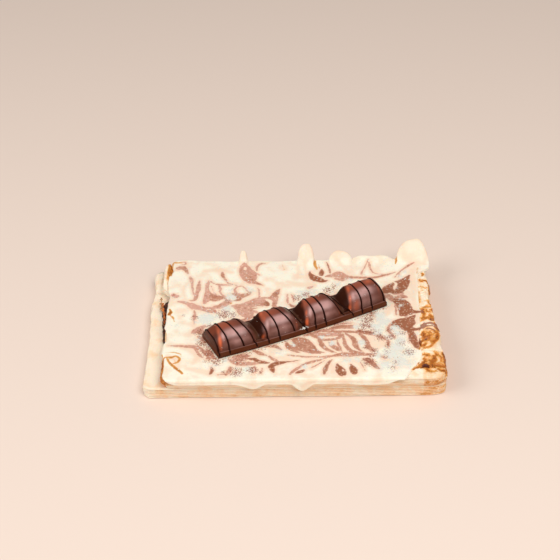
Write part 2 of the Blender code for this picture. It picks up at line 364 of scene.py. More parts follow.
@dataclass(frozen=True)
class MarbledChocolate:
    """White chocolate with milk chocolate drawn through it, sugar on top and browned spots."""

    cream: tuple = display(254, 247, 227)
    peach: tuple = display(250, 218, 190)
    pink_milk: tuple = display(224, 172, 152)
    milk: tuple = display(204, 148, 122)
    deep_milk: tuple = display(160, 96, 64)
    red_milk: tuple = display(176, 96, 62)
    sugar: tuple = display(230, 230, 220)
    speck: tuple = display(150, 86, 64)
    gold: tuple = display(226, 160, 84)
    burnt: tuple = display(166, 90, 26)

    def material(self) -> bpy.types.Material:
        """Builds the material from the values laid on the coat's mesh.

        Returns:
            The material.
        """
        f = Finish("marbled_chocolate")
        blotch = f.mottle(2.4, 4.0)
        grain = f.mottle(0.6, 2.0)
        crisp = f.mottle(0.95, 3.0)
        line = f.laid("milk") + (blotch - 0.5) * 1.1 + (crisp - 0.5) * 0.7
        drawn = line.between(-0.24, 0.22)
        tone = (f.laid("tone") + (f.mottle(5.0, 3.0) - 0.5) * 0.5).between(0.0, 1.0)
        milk = f.mix(tone.between(0.0, 0.5), self.pink_milk, self.milk)
        milk = f.mix(tone.between(0.5, 1.0), milk, self.deep_milk)
        milk = f.mix(f.mottle(3.4, 3.0).between(0.55, 0.72) * 0.5, milk, self.red_milk)
        milk = f.mix(line.between(0.9, 0.1) * 0.45, milk, self.pink_milk)
        streak = f.mottle(2.0, 3.0, (0.35, 1.0, 1.0)).between(0.6, 0.78)
        milk = f.mix(streak * 0.4, milk, self.peach)
        fleck = f.mottle(1.5, 3.0)
        milk = f.mix(fleck.between(0.55, 0.7) * 0.45, milk, self.deep_milk)
        milk = f.mix(fleck.between(0.44, 0.32) * 0.5, milk, self.peach)
        ground = f.mix(f.mottle(8.0, 4.0).between(0.42, 0.7) * 0.75, self.cream, self.peach)
        near = f.laid("milk").between(-2.4, -0.2)
        ground = f.mix(near * 0.8, ground, self.peach)
        # painted shade: peach in the soft hollows and on the upturned lobes
        ground = f.mix(f.laid("shade"), ground, self.peach)
        gold = f.laid("gold") + (blotch - 0.5) * 0.7
        ground = f.mix(gold.between(0.2, 0.7), ground, self.gold)
        ground = f.mix(gold.between(0.75, 1.1), ground, self.burnt)
        colour = f.mix(drawn, ground, milk)
        dust = f.laid("sugar")
        haze = (dust + (blotch - 0.5) * 1.0 + (crisp - 0.5) * 1.3).between(0.25, 0.85)
        colour = f.mix(haze * 0.92, colour, self.sugar)
        cocoa = f.laid("cocoa")
        dots = (crisp * 0.6 + grain * 0.7 + cocoa * 0.22).between(0.75, 0.84)
        dots = dots * cocoa.between(0.1, 0.5)
        colour = f.mix(cocoa.between(0.2, 0.9) * blotch * 0.5, colour, self.pink_milk)
        colour = f.mix(dots * 0.85, colour, self.speck)
        stars = f.cells(2.2).between(0.24, 0.15) * f.mottle(9.0, 1.0).between(0.42, 0.55)
        colour = f.mix(stars * 0.85, colour, self.sugar)
        f.set(Specular_IOR_Level=0.4, Subsurface_Weight=0.1, Subsurface_Scale=0.002)
        f.relief(blotch * 0.35 + grain * 0.08 + haze * crisp * 0.9 + dots * 0.05, 0.3)
        return f.paint(colour, haze * 0.45 + drawn * -0.06 + 0.42)


@dataclass(frozen=True)
class CookedBatter:
    """Crepe batter, pale with golden lace, darker where its folds met the griddle, and with painted shade in
    the creases between its sheets.
    """

    pale: tuple = display(252, 236, 212)
    warm: tuple = display(250, 210, 165)
    golden: tuple = display(226, 156, 74)
    brown: tuple = display(184, 106, 34)
    burnt: tuple = display(84, 30, 6)
    milk: tuple = display(164, 104, 78)

    def material(self) -> bpy.types.Material:
        """Builds the material from the browning and the painted crease shade laid on the fold's mesh.

        Returns:
            The material.
        """
        f = Finish("cooked_batter")
        lace = f.mottle(2.2, 4.0)
        fine = f.mottle(0.8, 3.0)
        wide = f.mottle(6.0, 2.0)
        broad = f.mottle(9.0, 3.0)
        browned = f.laid("brown")
        vein = (f.mottle(3.0, 2.0) - 0.5).math("ABSOLUTE").between(0.04, 0.0)
        vein = vein * (browned + (wide - 0.5) * 1.4).between(-0.1, 0.3)
        rough = browned.between(-0.3, 0.5) * 0.9 + 0.15
        on_border = browned.between(0.3, 0.6)
        spots = (broad - 0.5) * 0.9 + (lace - 0.5) * (on_border * 0.4 + 0.4)
        spots = spots + (fine - 0.5) * (on_border * 0.3 + 0.15)
        heat = browned + spots * rough + vein * (on_border * 0.3 + 0.08)
        colour = f.mix(wide.between(0.45, 0.75) * 0.7, self.pale, self.warm)
        colour = f.mix(heat.between(0.05, 0.3), colour, self.warm)
        colour = f.mix(heat.between(0.24, 0.52), colour, self.golden)
        colour = f.mix(heat.between(0.5, 0.88), colour, self.brown)
        colour = f.mix(heat.between(1.0, 1.5), colour, self.burnt)
        chocolate = f.laid("milk") + (lace - 0.5) * 0.7
        colour = f.mix(chocolate.between(0.32, 0.52) * 0.9, colour, self.milk)
        f.set(Specular_IOR_Level=0.35, Subsurface_Weight=0.1, Subsurface_Scale=0.002)
        f.relief(lace * 0.5 + fine * 0.3 + heat * -0.25, 0.4)
        return f.paint(colour, heat.between(1.2, 0.2) * 0.2 + 0.4)


@dataclass(frozen=True)
class NutFilling:
    """Dark spread with nut and biscuit in it."""

    dark: tuple = display(52, 18, 5)
    light: tuple = display(150, 78, 34)

    def material(self) -> bpy.types.Material:
        """Builds the material.

        Returns:
            The material.
        """
        f = Finish("nut_filling")
        lump = f.mottle(1.4, 4.0)
        colour = f.mix(lump.between(0.52, 0.74), self.dark, self.light)
        f.relief(lump, 0.6)
        return f.paint(colour, lump.between(0.3, 0.7) * 0.3 + 0.3)


@dataclass(frozen=True)
class BarChocolate:
    """Glossy milk chocolate, with a painted highlight on each hump's front, lighter crowns, painted shade in
    the valleys and a painted warm glow that makes it redder on the shoulders of its humps.
    """

    body: tuple = display(97, 46, 30)
    # painted highlight on the humps' fronts and along the ledge
    painted_highlight: tuple = display(206, 158, 152)
    # painted shade on the band's upright side
    band: tuple = display(94, 48, 26)
    # painted shade in the valleys, on each hump's left face and on the flank before a valley
    deep: tuple = display(44, 13, 1)
    flank_shade: tuple = display(72, 44, 24)
    # painted light: the humps' crowns are painted lighter and redder than the body
    lit_crown: tuple = display(154, 74, 46)
    # painted warm glow of light on the humps' shoulders
    glow: tuple = display(214, 100, 56)

    def material(self) -> bpy.types.Material:
        """Builds the material from the light and dark laid on the bar's mesh.

        Returns:
            The material.
        """
        f = Finish("bar_chocolate")
        cloud = f.mottle(6.0, 3.0)
        fine = f.mottle(0.7, 2.0)
        # painted light on the crowns, laid as "crown"
        colour = f.mix(f.laid("crown"), self.body, self.lit_crown)
        # painted highlight, laid as "front" on each hump's front and along the ledge's rim
        sheen = (f.laid("front") * (cloud * 1.3 + 0.3)).between(0.0, 1.0)
        colour = f.mix(sheen * 0.88, colour, self.painted_highlight)
        # painted shade on the band, laid as "side"
        colour = f.mix(f.laid("side") * 0.9, colour, self.band)
        # painted shade in the valleys and on the faces and flanks that lead into them
        colour = f.mix(f.laid("flank_shade"), colour, self.flank_shade)
        colour = f.mix(f.laid("deep"), colour, self.deep)
        # painted warm glow on the humps' shoulders, laid as "warm"
        warm = (f.laid("warm") * (cloud * 0.8 + 0.6)).between(0.05, 0.95)
        colour = f.mix(warm, colour, self.glow)
        f.set(Specular_IOR_Level=0.04, Coat_Roughness=0.4)
        shine = 1.0 - f.laid("deep").larger(f.laid("flank_shade") * 0.7).larger(f.laid("side") * 0.85)
        f.fill(f.shader.inputs["Coat Weight"], shine * 0.8)
        f.relief(cloud * 0.7 + fine * 0.3, 0.2)
        return f.paint(colour, cloud.between(0.2, 0.8) * 0.12 + 0.42)


@dataclass(frozen=True)
class PlainFood:
    """A food of one main colour with a little mottling."""

    name: str
    colour: tuple
    second: tuple
    roughness: float
    size: float = 0.8
    gloss: float = 0.5

    def material(self) -> bpy.types.Material:
        """Builds the material.

        Returns:
            The material.
        """
        f = Finish(self.name)
        spots = f.mottle(self.size, 2.0)
        f.set(Specular_IOR_Level=self.gloss)
        f.relief(spots, 0.1)
        return f.paint(f.mix(spots.between(0.35, 0.7), self.colour, self.second), self.roughness)


@dataclass(frozen=True)
class TableTop:
    """The plain pale surface that the crepe stands on."""

    colour: tuple = display(237, 219, 206)

    def material(self) -> bpy.types.Material:
        """Builds the material.

        Returns:
            The material.
        """
        f = Finish("pale_table")
        f.set(Specular_IOR_Level=0.1)
        return f.paint(self.colour, 0.9)


# ------------------------------------------------------------------ meshes


def finish_mesh(name: str, shape: bmesh.types.BMesh, smooth: bool = True) -> bpy.types.Object:
    """Turns a shape in millimetres into a named object in metres.

    Args:
        name: what the object is called.
        shape: the shape, which is used up.
        smooth: whether its faces are shaded smoothly.

    Returns:
        The object, at the origin, with its place in its mesh.
    """
    bmesh.ops.recalc_face_normals(shape, faces=shape.faces[:])
    bmesh.ops.scale(shape, vec=(MM, MM, MM), verts=shape.verts[:])
    mesh = bpy.data.meshes.new(name)
    shape.to_mesh(mesh)
    shape.free()
    if smooth:
        mesh.shade_smooth()
    made = bpy.data.objects.new(name, mesh)
    bpy.context.scene.collection.objects.link(made)
    return made


def points_of(made: bpy.types.Object) -> np.ndarray:
    """The places of a mesh's points.

    Args:
        made: the mesh's object.

    Returns:
        One row of x, y and z for each point, in millimetres.
    """
    flat = np.empty(len(made.data.vertices) * 3)
    made.data.vertices.foreach_get("co", flat)
    return flat.reshape(-1, 3) / MM


def lay(made: bpy.types.Object, name: str, values: np.ndarray) -> None:
    """Lays one value on each point of a mesh, for its material to read."""
    layer = made.data.attributes.new(name, "FLOAT", "POINT")
    layer.data.foreach_set("value", values.astype(np.float32))


def dress(made: bpy.types.Object, material: bpy.types.Material, slot: Slot, *nodes: str) -> None:
    """Gives a piece its material, its body and the solids that it stands for.

    Args:
        made: the piece.
        material: its finish.
        slot: the material slot for it; not used.
        nodes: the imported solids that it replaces.
    """
    made.data.materials.clear()
    made.data.materials.append(material)
    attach(made, "root")
    if nodes:
        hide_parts(*nodes)
    LOG.info("%s: %d faces", made.name, len(made.data.polygons))


@dataclass
class Plan:
    """A rectangle with rounded corners, seen from above."""

    left: float
    right: float
    front: float
    back: float
    corner: float = 4.5

    def place(self, x: float, y: float) -> tuple[Vector, Vector]:
        """Moves a point of the square-cornered plan into the rounded one.

        Args:
            x: place along the crepe.
            y: place across it.

        Returns:
            The place, and the direction that leads straight out of the plan from there.
        """
        middle = Vector(((self.left + self.right) / 2, (self.front + self.back) / 2))
        half = Vector(((self.right - self.left) / 2, (self.back - self.front) / 2))
        point = Vector((x, y)) - middle
        reach = max(abs(point.x) / half.x, abs(point.y) / half.y, 1e-9)
        edge = point / reach
        straight = half - Vector((self.corner, self.corner))
        if abs(edge.x) > straight.x and abs(edge.y) > straight.y:
            pivot = Vector((math.copysign(straight.x, edge.x), math.copysign(straight.y, edge.y)))
            outward = (edge - pivot).normalized()
            edge = pivot + self.corner * outward
        elif abs(edge.y) > straight.y:
            outward = Vector((0.0, math.copysign(1.0, edge.y)))
        else:
            outward = Vector((math.copysign(1.0, edge.x), 0.0))
        return middle + point.lerp(edge * reach, reach**4), outward


# a loop round a layer: it turns a place of the rim and the direction out of it into a point
Ring = Callable[[Vector, Vector], Sequence[float]]


def pull(shape: bmesh.types.BMesh, loop: list, sources: dict) -> tuple[list, dict]:
    """Extrudes a closed loop of edges.

    Args:
        shape: the shape that the loop belongs to.
        loop: the edges to pull.
        sources: what each of their points came from.

    Returns:
        The new edges, and what each new point came from.
    """
    pulled = bmesh.ops.extrude_edge_only(shape, edges=loop)["geom"]
    made = {}
    for vertex in (part for part in pulled if isinstance(part, bmesh.types.BMVert)):
        others = (edge.other_vert(vertex) for edge in vertex.link_edges)
        made[vertex] = next(sources[other] for other in others if other in sources)
    edges = [part for part in pulled if isinstance(part, bmesh.types.BMEdge)]
    return [edge for edge in edges if all(end in made for end in edge.verts)], made


@dataclass
class Layer:
    """A flat layer of the crepe: a draped top with sides pulled down from its rim."""

    name: str
    plan: Plan
    columns: list[float] = field(default_factory=list)
    rows: list[float] = field(default_factory=list)

    def shift(self, place: Vector) -> Vector:
        """Moves a place of the plan."""
        return place

    def skin(self, place: Vector) -> Vector:
        """The point of the top above a place."""
        raise NotImplementedError

    def rings(self) -> list[Ring]:
        """The loops that are pulled from the rim, from the top down and under."""
        raise NotImplementedError

    def build(self) -> bpy.types.Object:
        """Drapes the grid, pulls the rings and closes the underside.

        Returns:
            The layer's object.
        """
        shape = bmesh.new()
        width, depth = len(self.columns), len(self.rows)
        bmesh.ops.create_grid(shape, x_segments=width - 1, y_segments=depth - 1, size=1.0)
        plans = {}
        for number, vertex in enumerate(shape.verts):
            row, column = divmod(number, width)
            place, outward = self.plan.place(self.columns[column], self.rows[row])
            place = self.shift(place)
            vertex.co = self.skin(place)
            if row in (0, depth - 1) or column in (0, width - 1):
                plans[vertex] = (place, outward)
        loop = [edge for edge in shape.edges if edge.is_boundary]
        for ring in self.rings():
            loop, plans = pull(shape, loop, plans)
            for vertex, (place, outward) in plans.items():
                vertex.co = ring(place, outward)
        bmesh.ops.contextual_create(shape, geom=loop)
        return finish_mesh(self.name, shape)


def sheet_point(
    outset: float, groove: bool, height: float, seed: float, place: Vector, outward: Vector
) -> Sequence[float]:
    """A point of a loop round a stack of folded sheets.

    Args:
        outset: how far the loop stands out of the plan.
        groove: whether it lies between two sheets.
        height: its height.
        seed: which of many ragged edges it has.
        place: the place of the rim that the point comes from.
        outward: the direction out of the plan there.

    Returns:
        The point.
    """
    open_end = abs(outward.x)
    along = place.y if open_end > 0.5 else place.x
    ragged = 0.9 * ripple(place.x, place.y, 11.0, seed) + 0.35 * ripple(along, seed, 2.6, 5.0)
    soft = 0.45 * ripple(along, seed, 17.0, 7.0) + 0.15 * ripple(along, seed, 4.0, 7.0)
    depth = outset * (0.75 + 0.25 * open_end) if groove else outset
    sway = 0.16 * ripple(along, seed, 13.0, 2.0) * (1.0 if height > 1.2 else 0.0)
    reach = depth + open_end * ragged + (1.0 - open_end) * soft
    return (*(place + reach * outward), height + sway)


def crease(z: float, top: float, bottom: float, sheets: int) -> float:
    """How close a height is to the crease between two sheets of a stack.

    Args:
        z: the height.
        top: height of the uppermost sheet's top.
        bottom: height of the lowest sheet's underside.
        sheets: how many there are.

    Returns:
        1 in a crease and 0 well away from one.
    """
    share = (top - z) / (top - bottom) * sheets
    if not 0.5 < share < sheets - 0.5:
        return 0.0
    return math.exp(-(((share - round(share)) / 0.2) ** 2))


def sheet_rings(top: float, bottom: float, sheets: int, seed: float) -> list[Ring]:
    """Loops for a stack of folded sheets, three round each edge and one between two.

    Args:
        top: height of the uppermost sheet's top.
        bottom: height of the lowest sheet's underside.
        sheets: how many there are.
        seed: which of many ragged stacks.

    Returns:
        The rings, from the top down.
    """
    thickness = (top - bottom) / sheets
    rings: list[Ring] = []
    for number in range(sheets):
        middle = top - (number + 0.5) * thickness
        each = seed + 1.7 * number
        if number:
            rings.append(partial(sheet_point, -0.8, True, middle + thickness * 0.5, each))
        for outset, share in ((0.25, 0.34), (0.6, 0.0), (0.25, -0.34)):
            rings.append(partial(sheet_point, outset, False, middle + thickness * share, each))
    return rings


def flat_ring(outset: float, height: float) -> Ring:
    """A loop at a set distance outside the rim and at a set height."""
    return lambda place, outward: (*(place + outset * outward), height)


# ------------------------------------------------------------------ drawn lines


@dataclass(frozen=True)
class Stroke:
    """One drawn line: places with the line's width there, and its tone or strength."""

    points: tuple[tuple[float, float, float], ...]
    tone: float

    def traced(self, steps: int = 7) -> np.ndarray:
        """The stroke's smooth course.

        Args:
            steps: how many places each stretch between two points is given.

        Returns:
            Places and widths, one row each.
        """
        points = np.array(self.points, float)
        ends = np.vstack([2 * points[0] - points[1], points, 2 * points[-1] - points[-2]])
        share = np.linspace(0.0, 1.0, steps, endpoint=False)[:, None]
        course = []
        for before, start, stop, after in zip(ends, ends[1:], ends[2:], ends[3:]):
            cubic = 3.0 * (start - stop) + after - before
            square = 2.0 * before - 5.0 * start + 4.0 * stop - after
            course.append(start + 0.5 * share * (stop - before + share * (square + share * cubic)))
        course.append(points[-1:])
        traced = np.vstack(course)
        traced[:, 2] = np.maximum(traced[:, 2], 0.2)
        return traced


def strokes(*lines: tuple) -> tuple[Stroke, ...]:
    """Makes strokes from lines that each give a tone and then the places with their widths."""
    return tuple(Stroke(line[1:], line[0]) for line in lines)


class Drawing:
    """Works out how far points are inside or outside a set of strokes."""

    def __init__(self, places: np.ndarray, lines: Sequence[Stroke]) -> None:
        """Draws the strokes one after another.

        Args:
            places: the places to work out, one row of x and y for each.
            lines: the strokes.
        """
        self.places = places
        self.inside = np.full(len(places), -3.0)
        self.raised = np.zeros(len(places))
        self.glow = np.zeros(len(places))
        self.tone = np.full(len(places), 0.5)
        for stroke in lines:
            self.draw(stroke)

    def draw(self, stroke: Stroke) -> None:
        """Adds a stroke, keeping the deepest value and the tone of the stroke that gives it.

        Args:
            stroke: the stroke.
        """
        course = stroke.traced()
        margin = course[:, 2].max() / 2 + 3.0
        low, high = course[:, :2].min(0) - margin, course[:, :2].max(0) + margin
        near = np.flatnonzero(((self.places > low) & (self.places < high)).all(1))
        if not len(near):
            return
        places = self.places[near]
        best = np.full(len(near), -3.0)
        closest = np.ones(len(near))
        for start, stop in zip(course, course[1:]):
            step = stop[:2] - start[:2]
            length = max(float(step @ step), 1e-9)
            share = np.clip((places - start[:2]) @ step / length, 0.0, 1.0)
            away = np.hypot(*(places - start[:2] - share[:, None] * step).T)
            half = (start[2] + share * (stop[2] - start[2])) / 2
            best = np.maximum(best, half - away)
            closest = np.minimum(closest, away / half)
        deeper = best > self.inside[near]
        blend = np.clip(best + 1.0, 0.0, 1.0)
        tones = self.tone[near]
        self.tone[near] = np.where(deeper, tones + (stroke.tone - tones) * blend, tones)
        self.inside[near] = np.maximum(self.inside[near], best)
        bulge = stroke.tone * (1.0 - closest**2) ** 1.3
        self.raised[near] = np.maximum(self.raised[near], bulge)
        halo = 0.75 * np.clip(best + 0.6, 0.0, 1.0) + 0.25 * np.clip(best / 2.0 + 1.0, 0.0, 1.0)
        self.glow[near] = np.maximum(self.glow[near], stroke.tone * halo)


def along_view(points: np.ndarray, level: float) -> np.ndarray:
    """Carries points that stand above a level onto it, straight along the look from the front.

    Args:
        points: one row of x, y and z for each, in millimetres.
        level: the height of the level.

    Returns:
        One row of x and y for each.
    """
    rise = np.maximum(points[:, 2] - level, 0.0)
    return points[:, :2] + np.outer(rise, VIEW_DRIFT)


# ------------------------------------------------------------------ the crepe's folds


@dataclass
class EndShape:
    """How both folds spread at the gathered end and at the back left."""

    back_slant: float = 2.4
    # places across, and how far the gathered end reaches out there
    reach: tuple = (
        (-58, 5.4), (-50, 5.9), (-40, 5.7), (-34, 4.4), (-30, 3.7), (-26, 4.2), (-20, 4.2), (-15, 3),
        (-9, 1.3), (-4, 1), (0, 0.8), (4, 0.2), (8, -0.9), (14, -1.8), (20, -0.3), (26, -0.8),
        (31, -1.6), (37, -2.4), (50, -2),
    )

    def slanted(self, place: Vector) -> Vector:
        """Moves a place with the uneven right end and the slant of the back.

        Args:
            place: a place of the plan.

        Returns:
            The moved place.
        """
        end = smooth_step(79.0, 85.4, place.x)
        return Vector((place.x + end * wave(self.reach, place.y), place.y + self.slant(place)))

    def slant(self, place: Vector) -> float:
        """How far the back left is pushed out behind a place."""
        back = smooth_step(25.0, 51.0, place.y) * (1.0 - smooth_step(-82.0, -46.0, place.x))
        return self.back_slant * back


@dataclass
class LowerFold(Layer):
    """The fold that everything lies on, bare and smooth where it reaches out at the left."""

    name: str = "lower_fold"
    plan: Plan = field(default_factory=lambda: Plan(-91.2, 85.3, -57.4, 50.0))
    top: float = 8.0
    sheets: int = 6
    stack_foot: float = 0.25
    ends: EndShape = field(default_factory=EndShape)
    # places across, and how far the edge keeps back there
    left_edge: tuple = (
        (-57, 2.9), (-44, 3.2), (-27, 3.1), (-14, 2.8), (-1, 2), (8, 1.3), (13, 0.4), (20, 1), (28, 1.8),
        (36, 2), (42, 0.6), (50, 0),
    )

    def __post_init__(self) -> None:
        """Lays out the grid, fine at the two ends that show."""
        left = spread(self.plan.left, -78.0, 0.5)
        self.columns = [*left, *spread(-66.0, 72.0, 23.0), *spread(77.0, self.plan.right, 0.9)]
        self.rows = spread(self.plan.front, self.plan.back, 0.9)

    def shift(self, place: Vector) -> Vector:
        """Moves a place with both ends and with the uneven left edge.

        Args:
            place: a place of the plan.

        Returns:
            The moved place.
        """
        moved = self.ends.slanted(place)
        left = 1.0 - smooth_step(self.plan.left, -80.0, place.x)
        moved.x += left * (wave(self.left_edge, place.y) + 0.25 * ripple(place.x, place.y, 4.0, 3.7))
        return moved

    def skin(self, place: Vector) -> Vector:
        """The top: a soft roll along the bare left edge, with a step and a puff towards the back.

        Args:
            place: a place of the plan.

        Returns:
            The point above the place.
        """
        edge = self.plan.left + wave(self.left_edge, place.y)
        roll = 0.5 * (1.0 - smooth_step(0.0, 2.4, place.x - edge)) ** 2
        bare = 1.0 - smooth_step(-86.0, -82.0, place.x)
        puff = 1.4 * smooth_step(34.0, 41.0, place.y) * (1.0 - smooth_step(-87.0, -84.0, place.x))
        dip = 0.9 * math.exp(-(((place.y - 33.4) / 1.8) ** 2)) * bare
        dip += 0.5 * smooth_step(-6.0, 0.0, place.y) * (1.0 - smooth_step(0.0, 5.0, place.y)) * bare
        bumps = bare * (0.2 * ripple(place.x, place.y, 6.0, 9.1) + 0.08 * ripple(place.x, place.y, 2.0, 8.1))
        return Vector((*place, self.top - roll + puff - dip + bumps - 0.15))

    def rings(self) -> list[Ring]:
        """Thin sheets, then the flat underside."""
        stack = sheet_rings(self.top - 0.5, self.stack_foot, self.sheets, 11.0)
        return [*stack, flat_ring(-0.5, 0.0), flat_ring(-6.0, 0.0)]

    def browning(self, x: float, y: float, z: float) -> float:
        """How browned the fold is at a point, with painted shade in the creases between its sheets.

        Args:
            x: place along the crepe.
            y: place across it.
            z: height above the table.

        Returns:
            About 0 where it is pale, 0.5 where golden and 1 where brown.
        """
        if x < -81.0:
            low = 0.28 * (1.0 - smooth_step(2.0, 5.5, z))
            recess = 0.12 * smooth_step(31.0, 36.0, y)
            return -0.35 + low + recess
        right = smooth_step(60.0, 84.0, x)
        # painted shade in the creases between the sheets
        return 0.06 + 0.2 * right + 0.26 * crease(z, self.top - 0.5, self.stack_foot, self.sheets)

    def finish(self) -> bpy.types.Object:
        """Builds the fold and lays its browning on it.

        Returns:
            The piece.
        """
        made = self.build()
        lay(made, "brown", np.array([self.browning(*point) for point in points_of(made)]))
        return made


